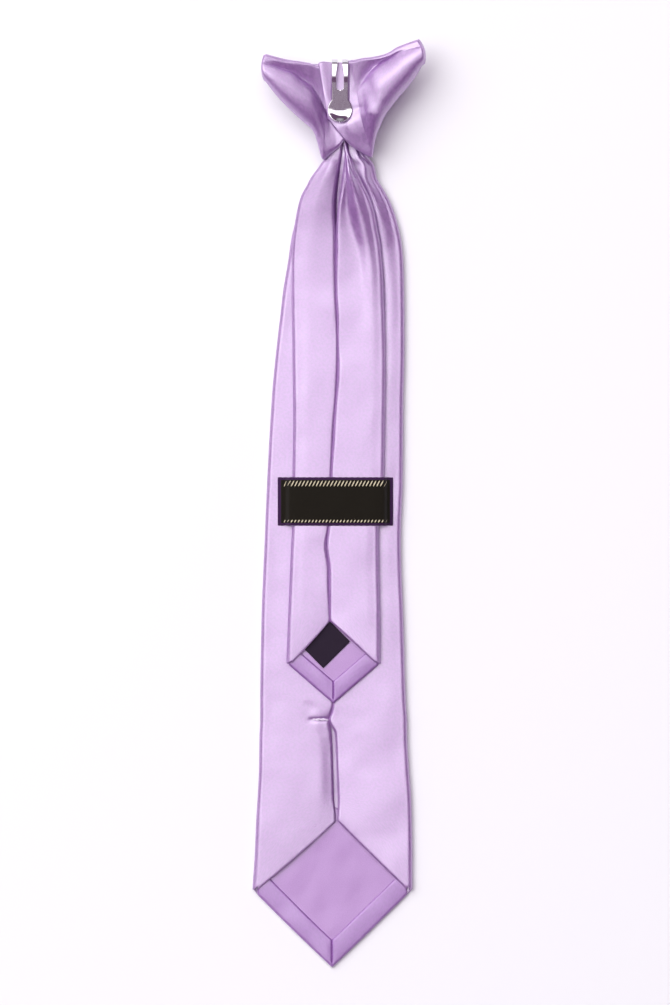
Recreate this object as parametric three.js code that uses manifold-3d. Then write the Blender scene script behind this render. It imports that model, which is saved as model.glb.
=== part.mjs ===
// A clip-on necktie lying face down, seen from its back: a pre-tied knot with two collar wings,
// a sprung steel clip over the top of the knot, a wide front blade and a narrow tail that lies
// on it, held by a woven keeper label. Millimetres, +Z up, +Y towards the knot, +X to the right
// as seen from the back. Every cloth piece is a folded sheet with a real wall, open inside.
import * as THREE from "three";
import Module from "manifold-3d";
import { mergeVertices } from "three/addons/utils/BufferGeometryUtils.js";

const wasm = await Module();
wasm.setup();

// Driving sizes of the cloth
const clothWall = 1.0; // satin with its interlining
const wrapWall = 1.5; // the front of the knot has a doubled interlining
const foldedDepth = 4.6; // a folded blade, front to back
const ply = 0.4; // air between two layers of one fold
const seat = 0.3; // gap between pieces that rest on each other
const lipGap = 0.35; // closed back seam

// Driving sizes of the blades
const bladeLength = 443; // knot's foot to the point of the front blade
const bladeWidth = 88;
const bladePointRise = 42.8; // point to corner of the front blade
const bladeSeamRise = 37.6; // corner to the foot of the back seam
const bladeHem = 14.7; // hem of the point, measured along the tie
const tailLength = 298;
const tailWidth = 51;
const tailPointRise = 22.2;
const tailSeamRise = 23;
const tailHem = 11.8;

// Driving sizes of the knot
const knotHeight = 54;
const knotTopWidth = 44;
const knotFootWidth = 24.5;
const knotLean = 5; // the foot of the knot sits this far right of the blade's centre line
const knotFootRise = 4; // the flaps reach this far past the knot's own foot
const knotTopLean = 0.85; // lean of the knot's top, as a share of its foot's
const leanFade = 0.3; // share of a blade's length over which the lean dies out
const bandInset = 2; // the front of the knot ends this far below the top edge at the back
const bandLow = 0.36; // foot of the neck band, in knot heights
const bandLean = 0.88;
const knotCorner = 4.4; // outer radius of the knot's front corners
const wingSpan = 89.5;
const wingHeight = 8.5; // crest of a wing above the cloth behind the clip

// Driving sizes of the clip
const clipWall = 0.8;
const clipWidth = 8.9;
const clipSlot = 3.9;
const clipDisc = 13.6; // diameter of the round lip
const clipReach = 34.4; // apex of the bend to the end of the lip
const clipSlotEnd = 17; // apex to the end of the slot
const clipLegLength = 20;
const clipBend = 4.3; // radius of the bend at mid wall
const clipSeat = 3.4; // flat under the bend, where the edge of a collar band sits
const clipSlope = 0.55; // share of the tongue over which it comes down to the cloth
const clipTouch = 0.8; // the tongue's nearest point to the cloth
const clipTouchAt = 0.86; // it starts to rise this far up the round lip
const clipFlare = 2.9; // rise of the round lip
const clipOver = 0.4; // the bend stands this far past the top of the knot
const clipX = 0.8; // clip's centre line from the blade's

// Driving sizes of the labels
const labelWidth = 62.8;
const labelHeight = 26;
const labelWall = 1.0;
const labelAlong = 0.423; // label's middle, as a share of the blade's length from the knot
const labelShift = -1.7;
const labelClimb = 4.5; // the label rises over each side of the tail within this run
const labelClear = 1.1; // air beside the tail's side folds
const careWidth = 17;
const careLength = 20.4;
const careWall = 0.5;
const careTurn = 45;
const careShift = -0.085; // from the middle of the tail, in tail widths
const careRise = 0.94; // from the hem's foot, in point rises

// Levels worked out from the sizes above
const throatFloor = wrapWall + 2 * seat;
const throatBlade = 1.68; // gathered blade in the knot, in folded depths
const throatTail = 0.83;
const throatTop = throatFloor + throatBlade * foldedDepth;
const backLevel = throatTop + ply + throatTail * foldedDepth + seat;
const hemLevel = backLevel + clothWall / 2;
const leftLevel = hemLevel + clothWall + ply;
const rightLevel = leftLevel + clothWall + ply + seat / 2;
const foldRadius = (clothWall + ply) / 2;

// Turns rows of numbers into objects with the named columns.
function table(columns, rows) {
  const names = columns.split(" ");
  return rows.map((row) => Object.fromEntries(names.map((name, i) => [name, row[i]])));
}

// Smooth value of one column at a place along the table, never overshooting its rows.
function track(rows, key, column, at) {
  const last = rows.length - 1;
  if (at <= rows[0][key]) return rows[0][column];
  if (at >= rows[last][key]) return rows[last][column];
  let i = 0;
  while (rows[i + 1][key] < at) i++;
  const slope = (n) =>
    n < 0 || n >= last
      ? 0
      : (rows[n + 1][column] - rows[n][column]) / (rows[n + 1][key] - rows[n][key]);
  const tangent = (n) => {
    const before = slope(n - 1);
    const after = slope(n);
    return before * after <= 0 ? 0 : (2 * before * after) / (before + after);
  };
  const run = rows[i + 1][key] - rows[i][key];
  const s = (at - rows[i][key]) / run;
  const s2 = s * s;
  const s3 = s2 * s;
  return (
    (2 * s3 - 3 * s2 + 1) * rows[i][column] +
    (s3 - 2 * s2 + s) * run * tangent(i) +
    (3 * s2 - 2 * s3) * rows[i + 1][column] +
    (s3 - s2) * run * tangent(i + 1)
  );
}

const mix = (a, b, s) => a + (b - a) * s;
const spaced = (n) => Array.from({ length: n }, (_, i) => i / (n - 1));
const degrees = (angle) => (angle * Math.PI) / 180;

// A closed solid from a grid of mid-surface points: each point is moved out to both sides.
// grid[row][column] is a Vector3; inside(row, column) is extra wall on the inner side.
function sheetGeometry(grid, wall, inside = () => 0) {
  const rows = grid.length;
  const columns = grid[0].length;
  const outer = [];
  const inner = [];
  for (let j = 0; j < rows; j++)
    for (let i = 0; i < columns; i++) {
      const across = grid[j][Math.min(i + 1, columns - 1)].clone();
      across.sub(grid[j][Math.max(i - 1, 0)]);
      const along = grid[Math.min(j + 1, rows - 1)][i].clone();
      along.sub(grid[Math.max(j - 1, 0)][i]);
      const normal = across.cross(along).normalize();
      outer.push(grid[j][i].clone().addScaledVector(normal, wall / 2));
      inner.push(grid[j][i].clone().addScaledVector(normal, -wall / 2 - inside(j, i)));
    }
  const points = [...outer, ...inner];
  const shift = outer.length;
  const at = (j, i) => j * columns + i;
  const faces = [];
  const quad = (a, b, c, d) => faces.push(a, b, c, a, c, d);
  for (let j = 0; j < rows - 1; j++)
    for (let i = 0; i < columns - 1; i++) {
      quad(at(j, i), at(j, i + 1), at(j + 1, i + 1), at(j + 1, i));
      quad(shift + at(j, i), shift + at(j + 1, i), shift + at(j + 1, i + 1), shift + at(j, i + 1));
    }
  for (let i = 0; i < columns - 1; i++) {
    quad(at(0, i), shift + at(0, i), shift + at(0, i + 1), at(0, i + 1));
    quad(at(rows - 1, i + 1), shift + at(rows - 1, i + 1), shift + at(rows - 1, i), at(rows - 1, i));
  }
  for (let j = 0; j < rows - 1; j++) {
    quad(at(j + 1, 0), shift + at(j + 1, 0), shift + at(j, 0), at(j, 0));
    const end = columns - 1;
    quad(at(j, end), shift + at(j, end), shift + at(j + 1, end), at(j + 1, end));
  }
  return closedGeometry(points, faces);
}

// Builds the geometry, with its faces turned outwards.
function closedGeometry(points, faces) {
  let volume = 0;
  for (let i = 0; i < faces.length; i += 3) {
    const [a, b, c] = [points[faces[i]], points[faces[i + 1]], points[faces[i + 2]]];
    volume += a.dot(b.clone().cross(c));
  }
  const index = volume < 0 ? faces.slice().reverse() : faces;
  const geometry = new THREE.BufferGeometry().setFromPoints(points);
  geometry.setIndex(index);
  return geometry;
}

function solidOf(geometry) {
  const bare = geometry.clone();
  for (const name of Object.keys(bare.attributes)) if (name !== "position") bare.deleteAttribute(name);
  const merged = mergeVertices(bare, 1e-4);
  return new wasm.Manifold(
    new wasm.Mesh({
      numProp: 3,
      vertProperties: merged.attributes.position.array,
      triVerts: new Uint32Array(merged.index.array),
    }),
  );
}

function geometryOf(solid) {
  const mesh = solid.getMesh();
  const geometry = new THREE.BufferGeometry();
  geometry.setAttribute("position", new THREE.BufferAttribute(mesh.vertProperties, 3));
  geometry.setIndex(new THREE.BufferAttribute(mesh.triVerts, 1));
  return geometry;
}

// Materials, as the tie shows them
const satin = new THREE.MeshStandardMaterial({ color: 0xcaa6dc, roughness: 0.42, metalness: 0 });
const liningSatin = new THREE.MeshStandardMaterial({ color: 0xb98fcd, roughness: 0.5, metalness: 0 });
const wovenLabel = new THREE.MeshStandardMaterial({ color: 0x14110d, roughness: 0.8, metalness: 0 });
const careSatin = new THREE.MeshStandardMaterial({ color: 0x2b1c33, roughness: 0.6, metalness: 0 });
const clipSteel = new THREE.MeshStandardMaterial({ color: 0xd9d7dc, roughness: 0.12, metalness: 1 });

const tie = new THREE.Group();
function add(name, geometry, material) {
  const mesh = new THREE.Mesh(geometry, material);
  mesh.name = name;
  tie.add(mesh);
  return mesh;
}

// Blades. Each is one strip of cloth folded round to a back seam. The outline rows give how far
// the sides have spread from the knot's throat (0) to the full width (1), where the seam runs as
// a share of the width, and how wide the seam stands open in walls. The relief rows give the
// underside as a share of the throat's floor and the back's height in folded depths.
const bladeOutline = table("along left right seam open", [
  [-0.031, -0.01, 0, 0.047, 0],
  [-0.012, 0.02, 0.03, 0.039, 0],
  [-0.002, 0.07, 0.08, 0.035, 0],
  [0.006, 0.13, 0.16, 0.03, 0],
  [0.015, 0.2, 0.2, 0.024, 0],
  [0.022, 0.27, 0.22, 0.019, 0],
  [0.037, 0.35, 0.34, 0.009, 0],
  [0.053, 0.42, 0.46, 0.004, 0],
  [0.074, 0.49, 0.57, -0.003, 0],
  [0.099, 0.55, 0.66, -0.007, 0],
  [0.124, 0.58, 0.71, -0.011, 0],
  [0.161, 0.64, 0.74, -0.013, 0],
  [0.198, 0.68, 0.76, -0.016, 0],
  [0.248, 0.74, 0.77, -0.022, 0],
  [0.297, 0.79, 0.76, -0.028, 0],
  [0.396, 0.86, 0.75, -0.034, 0],
  [0.471, 0.9, 0.72, -0.033, 0],
  [0.57, 0.95, 0.76, -0.032, 0],
  [0.673, 0.97, 0.8, -0.032, 0.06],
  [0.684, 0.97, 0.81, -0.041, 0.22],
  [0.694, 0.97, 0.82, -0.057, 0.06],
  [0.711, 0.98, 0.82, -0.031, 2.2],
  [0.756, 0.99, 0.85, -0.021, 2.4],
  [0.789, 1.01, 0.88, -0.016, 2.6],
  [0.814, 1.03, 0.89, -0.012, 1.4],
  [0.867, 1.06, 0.9, -0.012, 0.5],
  [0.903, 1.09, 0.9, -0.019, 0.43],
  [1, 1.13, 0.93, -0.022, 0.4],
]);
const bladeRelief = table(
  "along base leftEdge crown crownAt fall fallAt leftLip rightLip trough troughAt ridge ridgeAt rightEdge",
  [
    [-0.028, 1.0, 1.45, 1.6, 0.3, 1.6, 0.8, 1.5, 1.6, 1.6, 0.5, 1.6, 0.8, 1.4],
    [-0.003, 1.0, 1.5, 1.68, 0.3, 1.66, 0.8, 1.55, 1.66, 1.66, 0.5, 1.66, 0.8, 1.4],
    [0.008, 0.97, 1.4, 1.62, 0.3, 1.62, 0.8, 1.5, 1.6, 1.52, 0.5, 1.8, 0.84, 1.05],
    [0.021, 0.82, 1.35, 1.54, 0.3, 1.56, 0.8, 1.42, 1.54, 1.42, 0.5, 2.1, 0.84, 1.1],
    [0.05, 0.42, 1.22, 1.37, 0.3, 1.37, 0.8, 1.26, 1.35, 1.22, 0.62, 1.95, 0.86, 1.1],
    [0.087, 0.13, 1.09, 1.15, 0.3, 1.15, 0.8, 1.09, 1.15, 1.09, 0.62, 1.62, 0.85, 1.05],
    [0.124, 0, 1.0, 1.04, 0.3, 1.04, 0.8, 0.96, 1.04, 1.0, 0.66, 1.32, 0.86, 1.0],
    [0.173, 0, 0.96, 1.0, 0.3, 1.0, 0.8, 0.9, 1.0, 0.98, 0.7, 1.15, 0.86, 0.98],
    [0.248, 0, 0.95, 1.0, 0.3, 1.0, 0.8, 0.88, 1.0, 1.0, 0.7, 1.05, 0.86, 0.96],
    [0.673, 0, 0.95, 1.0, 0.3, 0.98, 0.8, 0.86, 1.0, 1.0, 0.3, 1.0, 0.8, 0.95],
    [0.694, 0, 0.95, 1.0, 0.3, 0.92, 0.8, 0.76, 0.88, 0.96, 0.25, 1.0, 0.7, 0.95],
    [0.757, 0, 0.95, 1.0, 0.3, 0.96, 0.8, 0.7, 0.94, 1.0, 0.25, 1.0, 0.7, 0.95],
    [0.82, 0, 0.95, 1.0, 0.3, 0.97, 0.8, 0.82, 0.97, 1.0, 0.25, 1.0, 0.7, 0.95],
    [1.0, 0, 0.95, 1.0, 0.3, 0.98, 0.8, 0.9, 1.0, 1.0, 0.3, 1.0, 0.8, 0.95],
  ],
);
const tailOutline = table("along left right seam open", [
  [-0.046, 0.05, -0.55, 0.065, 1],
  [-0.015, 0.07, -0.48, 0.057, 1.9],
  [-0.004, 0.18, -0.41, 0.05, 2],
  [0.007, 0.3, -0.32, 0.043, 2.2],
  [0.02, 0.45, -0.22, 0.033, 2.2],
  [0.033, 0.6, -0.08, 0.023, 2.2],
  [0.048, 0.72, 0.08, 0.012, 2.2],
  [0.07, 0.89, 0.31, -0.002, 1.8],
  [0.098, 0.98, 0.52, -0.018, 0.76],
  [0.129, 1.03, 0.66, -0.022, 0.1],
  [0.162, 1.06, 0.8, -0.022, 0],
  [0.225, 1.03, 0.93, -0.026, 0],
  [0.295, 1, 0.99, -0.011, 0],
  [0.376, 0.98, 1.02, -0.005, 0],
  [0.479, 0.96, 1, -0.042, 0],
  [0.578, 0.98, 0.98, -0.076, 0],
  [0.676, 1, 0.8, -0.103, 0],
  [0.711, 1.03, 0.8, -0.131, 0.6],
  [0.755, 1.06, 0.81, -0.1, 0.28],
  [0.834, 1.12, 0.84, -0.096, 0.23],
  [0.926, 1.18, 0.85, -0.07, 0.32],
  [1, 1.2, 0.87, -0.059, 0.4],
]);
const tailRelief = table(
  "along base leftEdge crown crownAt fall fallAt leftLip rightLip trough troughAt ridge ridgeAt rightEdge",
  [
    [-0.041, 0, 0.78, 0.83, 0.3, 0.8, 0.8, 0.7, 0.8, 0.8, 0.3, 0.83, 0.7, 0.78],
    [-0.004, 0, 0.78, 0.83, 0.3, 0.78, 0.8, 0.6, 0.78, 0.78, 0.3, 0.83, 0.7, 0.78],
    [0.011, 0, 0.9, 1.1, 0.28, 0.9, 0.82, 0.58, 0.9, 0.92, 0.3, 1.2, 0.66, 0.9],
    [0.031, 0, 0.95, 1.27, 0.26, 1.0, 0.84, 0.58, 1.0, 1.02, 0.27, 1.48, 0.62, 0.95],
    [0.074, 0, 0.95, 1.32, 0.25, 1.05, 0.86, 0.6, 1.1, 0.95, 0.25, 1.45, 0.62, 0.95],
    [0.109, 0, 0.93, 1.22, 0.25, 1.02, 0.88, 0.66, 1.06, 0.9, 0.32, 1.35, 0.7, 0.95],
    [0.129, 0, 0.92, 1.17, 0.25, 1.0, 0.9, 0.76, 1.04, 0.88, 0.38, 1.3, 0.75, 0.95],
    [0.184, 0, 0.9, 1.06, 0.25, 0.99, 0.9, 0.84, 1.0, 0.9, 0.52, 1.15, 0.8, 0.94],
    [0.258, 0, 0.9, 1.01, 0.25, 0.99, 0.9, 0.86, 0.99, 0.95, 0.6, 1.04, 0.82, 0.93],
    [0.368, 0, 0.93, 1.0, 0.3, 0.98, 0.8, 0.86, 1.0, 1.0, 0.3, 1.0, 0.8, 0.93],
    [0.8, 0, 0.93, 1.0, 0.3, 0.98, 0.8, 0.88, 1.0, 1.0, 0.3, 1.0, 0.8, 0.93],
    [0.9, 0, 0.97, 1.0, 0.3, 1.0, 0.8, 1.0, 1.0, 1.0, 0.3, 1.0, 0.8, 0.97],
    [1.0, 0, 0.97, 1.0, 0.3, 1.0, 0.8, 1.0, 1.0, 1.0, 0.3, 1.0, 0.8, 0.97],
  ],
);
const throatEase = 1.9; // air between a blade's side folds and the knot's walls
const dimpleDepth = 0.68; // gather in the middle of the front panel at the knot, in folded depths
const dimpleFade = 0.12; // share of the blade's length over which it dies out
const dimpleWidth = 0.16; // as a share of the blade's width
const sideRoll = 1.2; // a side fold is this much wider than it is high

const blade = {
  length: bladeLength,
  width: bladeWidth,
  outline: bladeOutline,
  relief: bladeRelief,
  pointRise: bladePointRise,
  seamRise: bladeSeamRise,
  hem: bladeHem,
  throatHalf: knotFootWidth / 2 - wrapWall - throatEase,
  base: (along) => throatFloor * track(bladeRelief, "along", "base", along),
  dimple: (along) => dimpleDepth * foldedDepth * Math.max(0, 1 - Math.max(0, along) / dimpleFade) ** 2,
};

// Height on which the tail lies, where it crosses the front blade.
function bladeTop(along) {
  const highest = ["leftEdge", "crown", "fall", "leftLip", "rightLip", "trough"].map((column) =>
    track(bladeRelief, "along", column, along),
  );
  return blade.base(along) + Math.max(...highest) * foldedDepth;
}

const tail = {
  length: tailLength,
  width: tailWidth,
  outline: tailOutline,
  relief: tailRelief,
  pointRise: tailPointRise,
  seamRise: tailSeamRise,
  hem: tailHem,
  throatHalf: knotFootWidth / 2 - wrapWall - throatEase,
  base: (along) => bladeTop((along * tailLength) / bladeLength) + ply,
  dimple: () => 0,
};

// Left and right edge, seam and open lip of a blade at a distance from the knot's foot.
function bladeEdges(strip, along) {
  const value = (column) => track(strip.outline, "along", column, along);
  const throat = Math.max(0, 1 - Math.max(0, along) / leanFade);
  const lean = knotLean * throat ** 2;
  const spread = strip.width / 2 - strip.throatHalf;
  return {
    left: lean - strip.throatHalf - value("left") * spread,
    right: lean + strip.throatHalf + value("right") * spread,
    seam: value("seam") * strip.width,
    open: lipGap + value("open") * clothWall,
  };
}

// The columns round a blade: back left panel, left fold, front panel, right fold, back right.
// cloth is the place across the flat cloth: 0 at the middle, 1 at a side fold, 2 at the seam.
const backShares = [1, 0.93, 0.8, 0.62, 0.45, 0.3, 0.16, 0.06];
const foldTurns = [90, 50, 0, -50, -90];
const foldCloth = 0.05; // half a side fold, as a share of the flat half width
const foldPlace = (turn) => 1 + foldCloth * Math.sin(degrees(turn)) * (1 - Math.cos(degrees(turn)));
const frontShares = [0.06, 0.24, 0.36, 0.43, 0.5, 0.57, 0.64, 0.76, 0.94];
const bladeColumns = [
  ...backShares.map((share) => ({ side: -1, panel: "back", share, cloth: 1 + share })),
  ...foldTurns.map((turn) => ({ side: -1, panel: "fold", turn, cloth: foldPlace(turn) })),
  ...frontShares.map((share) => ({ panel: "front", share, cloth: Math.abs(2 * share - 1) })),
  ...foldTurns.toReversed().map((turn) => ({ side: 1, panel: "fold", turn, cloth: foldPlace(turn) })),
  ...backShares.toReversed().map((share) => ({ side: 1, panel: "back", share, cloth: 1 + share })),
];

// Outer height of a back panel at a share of the way from its side fold to the seam.
function backHeight(strip, side, share, along) {
  const value = (column) => track(strip.relief, "along", column, along);
  const knots =
    side < 0
      ? [
          [0, value("leftEdge")],
          [value("crownAt"), value("crown")],
          [value("fallAt"), value("fall")],
          [1, value("leftLip")],
        ]
      : [
          [0, value("rightEdge")],
          [1 - value("ridgeAt"), value("ridge")],
          [1 - value("troughAt"), value("trough")],
          [1, value("rightLip")],
        ];
  const rows = knots.map(([at, height]) => ({ at, height }));
  return foldedDepth * track(rows, "at", "height", share);
}

function bladePoint(strip, column, y) {
  const along = -y / strip.length;
  const { left, right, seam, open } = bladeEdges(strip, along);
  const low = strip.base(along) + clothWall / 2;
  const edge = column.side < 0 ? left : right;
  const top = strip.base(along) + backHeight(strip, column.side, 0, along) - clothWall / 2;
  const roll = ((top - low) / 2) * sideRoll;
  const foldX = edge - column.side * (clothWall / 2 + roll);
  if (column.panel === "fold") {
    const turn = degrees(column.turn);
    const x = foldX + column.side * roll * Math.cos(turn);
    return new THREE.Vector3(x, y, mix(low, top, 0.5) + ((top - low) / 2) * Math.sin(turn));
  }
  if (column.panel === "front") {
    const width = right - left;
    const x = mix(left, right, column.share);
    const fromMiddle = (x - mix(left, right, 0.5)) / (dimpleWidth * width);
    return new THREE.Vector3(x, y, low + strip.dimple(along) * Math.exp(-fromMiddle * fromMiddle));
  }
  const lip = seam + (column.side * open) / 2;
  const x = mix(foldX, lip, column.share);
  const height = backHeight(strip, column.side, column.share, along);
  return new THREE.Vector3(x, y, strip.base(along) + height - clothWall / 2);
}

// How far up from the point the cut edge lies, at a place across the flat cloth.
const pointLine = (strip, cloth) =>
  Math.min(cloth, 1) * strip.pointRise + Math.max(0, cloth - 1) * strip.seamRise;

const hemStep = 0.3; // rounding of the hem's inner edge, measured along the tie
function bladeGeometry(strip, bodyAlongs) {
  const squareEnd = bodyAlongs[bodyAlongs.length - 1] * strip.length;
  const hemWall = clothWall + seat;
  const grid = [];
  for (const along of bodyAlongs)
    grid.push(bladeColumns.map((column) => bladePoint(strip, column, -along * strip.length)));
  const edgeRows = [0.4, 0.75];
  const cutY = (column) => -strip.length + pointLine(strip, column.cloth);
  const hemY = (column) => cutY(column) + strip.hem * (column.cloth < 1 ? 1 : 0.2);
  for (const share of edgeRows)
    grid.push(bladeColumns.map((c) => bladePoint(strip, c, mix(-squareEnd, hemY(c), share))));
  grid.push(bladeColumns.map((c) => bladePoint(strip, c, hemY(c) + hemStep)));
  grid.push(bladeColumns.map((c) => bladePoint(strip, c, hemY(c))));
  grid.push(bladeColumns.map((c) => bladePoint(strip, c, cutY(c))));
  const firstHemRow = grid.length - 2;
  const hemmed = (row, column) =>
    row >= firstHemRow && bladeColumns[column].panel === "front" && bladeColumns[column].cloth < 0.9;
  return sheetGeometry(grid, clothWall, (row, column) => (hemmed(row, column) ? hemWall : 0));
}

const bladeStations = [
  -0.031, -0.012, -0.002, 0.006, 0.015, 0.022, 0.037, 0.053, 0.074, 0.099, 0.124, 0.161, 0.198,
  0.248, 0.347, 0.471, 0.62, 0.673, 0.684, 0.694, 0.711, 0.756, 0.789,
];
const tailStations = [
  -0.046, -0.015, -0.004, 0.007, 0.02, 0.033, 0.048, 0.07, 0.098, 0.129, 0.162, 0.225, 0.295,
  0.376, 0.479, 0.578, 0.676, 0.711, 0.755, 0.8,
];
add("front_blade", bladeGeometry(blade, bladeStations), satin);
add("tail_blade", bladeGeometry(tail, tailStations), satin);

// Tipping: the lining that shows in the point, between the hem and the folded back panels. Its
// low edges run beside the hem, and its top edges lie hidden under the panels.
const tippingTuck = 2.5; // how far a lining runs up under the back panels
function tippingGeometry(strip, tuck) {
  const hemSide = (cloth, side) => {
    const y = -strip.length + cloth * strip.pointRise + strip.hem + hemStep + 2 * seat;
    const { left, right } = bladeEdges(strip, -y / strip.length);
    return new THREE.Vector2(mix(left, right, 0.5 + (side * cloth) / 2), y);
  };
  const inset = clothWall + foldedDepth + seat;
  const reach = 1 - inset / (strip.width / 2);
  const seamTop = -strip.length + strip.pointRise + strip.seamRise + tuck;
  const sides = [-1, 1].map((side) => hemSide(reach, side));
  const point = hemSide(0, 1);
  const tuckHalf = 0.08 * (sides[1].x - point.x);
  const shape = new THREE.Shape([
    point,
    hemSide(reach / 2, 1),
    sides[1],
    new THREE.Vector2(sides[1].x, sides[1].y + tuck),
    new THREE.Vector2(point.x + tuckHalf, seamTop),
    new THREE.Vector2(point.x - tuckHalf, seamTop),
    new THREE.Vector2(sides[0].x, sides[0].y + tuck),
    sides[0],
    hemSide(reach / 2, -1),
  ]);
  const plate = new THREE.ExtrudeGeometry(shape, { depth: clothWall, bevelEnabled: false });
  return plate.translate(0, 0, strip.base(1) + clothWall + seat);
}
add("front_tipping", tippingGeometry(blade, tippingTuck), liningSatin);
add("tail_tipping", tippingGeometry(tail, tippingTuck), liningSatin);

// Care label, tucked under the tail's left back panel, lying on its tipping.
const careGeometry = new THREE.BoxGeometry(careLength, careWidth, careWall);
const careEdges = bladeEdges(tail, 1);
const careLabel = add("care_label", careGeometry, careSatin);
careLabel.rotation.z = degrees(careTurn);
careLabel.position.set(
  mix(careEdges.left, careEdges.right, 0.5) + tailWidth * careShift,
  -tailLength + tailHem + tailPointRise * careRise,
  tail.base(1) + 2 * clothWall + 2 * seat + careWall / 2,
);

// Knot wrap: the front of the knot, a band round the front and both sides, open at the back.
function wrapGeometry() {
  const footY = knotFootRise;
  const topY = knotHeight - bandInset;
  const wallTop = backLevel - 2 * seat;
  const cornerTurns = [0, 30, 60, 90];
  const radius = knotCorner - wrapWall / 2;
  const rows = [0, 0.25, 0.5, 0.75, 1].map((share) => {
    const y = mix(footY, topY, share);
    const half = mix(knotFootWidth, knotTopWidth, share) / 2 - wrapWall / 2;
    const middle = knotLean * mix(1, knotTopLean, share);
    const side = (sign) => [
      new THREE.Vector3(middle + sign * half, y, wallTop),
      new THREE.Vector3(middle + sign * half, y, mix(knotCorner, wallTop, 0.5)),
      ...cornerTurns.map((turn) => {
        const angle = degrees(turn);
        const x = middle + sign * (half - radius + radius * Math.cos(angle));
        return new THREE.Vector3(x, y, knotCorner - radius * Math.sin(angle));
      }),
    ];
    return [...side(-1), ...side(1).toReversed()];
  });
  return sheetGeometry(rows, wrapWall);
}
add("knot_wrap", wrapGeometry(), satin);

// Neck band: the fold of cloth that closes the top of the knot and carries the clip.
function neckBandGeometry() {
  const front = wrapWall + seat + clothWall / 2;
  const back = backLevel - 2 * seat - clipWall - clothWall / 2;
  const radius = (back - front) / 2;
  const topY = knotHeight - bandInset - clothWall;
  const lowY = knotHeight * bandLow;
  const wrapHeight = knotHeight - bandInset - knotFootRise;
  const profile = [new THREE.Vector2(lowY, front)];
  for (const turn of [-90, -60, -30, 0, 30, 60, 90]) {
    const angle = degrees(turn);
    const y = topY - radius + radius * Math.cos(angle);
    profile.push(new THREE.Vector2(y, mix(front, back, 0.5) + radius * Math.sin(angle)));
  }
  profile.push(new THREE.Vector2(lowY, back));
  const shareAt = (y) => (Math.max(lowY, y) - knotFootRise) / wrapHeight;
  const rows = [-1, -0.5, 0, 0.5, 1].map((across) =>
    profile.map(({ x: y, y: z }) => {
      const half = mix(knotFootWidth, knotTopWidth, shareAt(y)) / 2 - wrapWall - knotCorner * 0.95;
      return new THREE.Vector3(knotLean * bandLean + across * half, y, z);
    }),
  );
  return sheetGeometry(rows, clothWall);
}
add("neck_band", neckBandGeometry(), satin);

// Wings. Each row is a line across the wing, from its top edge to its low edge, as seen from the
// back: x in wing spans and y in knot heights. rise columns are heights over the sheet's own
// level in wing heights: top edge, foot of the crease, shoulder beside it, crest, low edge.
// topTurn and lowTurn say how far the edge folds (180 and 90 lie flat underneath, 90 and 0 hang
// down), topHem and lowHem how much cloth follows, in knot heights.
const wingColumns =
  "topX topY lowX lowY bow topRise creaseAt creaseRise shoulderRise crestAt crestRise " +
  "lowRise topRoll topTurn topHem lowRoll lowTurn lowHem";
const leftWingRows = table(wingColumns, [
  [-0.45, 1.05, -0.45, 0.79, -0.014, 0.42, 0.2, 0.45, 0.47, 0.5, 0.52, 0.42, 0.02, 180, 0.08, 0.02, 90, 0.1],
  [-0.44, 1.06, -0.44, 0.78, -0.02, 0.62, 0.2, 0.72, 0.78, 0.5, 0.86, 0.5, 0.13, 180, 0.09, 0.11, 90, 0.11],
  [-0.39, 1.03, -0.38, 0.64, 0, 0.52, 0.18, 0.6, 0.72, 0.52, 0.9, 0.42, 0.12, 180, 0.12, 0.13, 90, 0.18],
  [-0.31, 1, -0.29, 0.49, 0, 0.36, 0.17, 0.36, 0.56, 0.54, 0.86, 0.36, 0.08, 180, 0.16, 0.14, 90, 0.22],
  [-0.24, 0.99, -0.22, 0.38, 0, 0.22, 0.26, 0.12, 0.38, 0.6, 0.72, 0.3, 0.05, 180, 0.16, 0.13, 90, 0.22],
  [-0.17, 0.97, -0.16, 0.29, 0, 0.12, 0.32, 0, 0.22, 0.66, 0.55, 0.24, 0.03, 180, 0.12, 0.12, 80, 0.12],
  [-0.14, 0.94, -0.14, 0.23, 0, 0.06, 0.37, -0.02, 0.14, 0.72, 0.42, 0.16, 0.01, 180, 0.08, 0.1, 40, 0.1],
  [-0.1, 0.93, -0.12, 0.13, 0, 0.02, 0.4, -0.02, 0.08, 0.74, 0.3, 0.1, 0, 180, 0.06, 0.08, 0, 0.12],
  [-0.08, 0.93, -0.09, -0.01, 0, 0, 0.42, 0, 0.04, 0.76, 0.2, 0.04, 0, 180, 0.06, 0.03, 5, 0.035],
  [-0.03, 0.93, -0.05, 0.05, 0, 0, 0.62, 0, 0.01, 0.86, 0.1, 0.02, 0, 180, 0.06, 0, 80, 0.04],
  [0.01, 0.93, -0.01, 0.1, 0, 0, 0.72, 0, 0, 0.88, 0.02, 0, 0, 180, 0.06, 0, 90, 0.09],
  [0.05, 0.93, 0.03, 0.18, 0, 0, 0.72, 0, 0, 0.88, 0, 0, 0, 180, 0.06, 0, 90, 0.09],
]);
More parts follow.
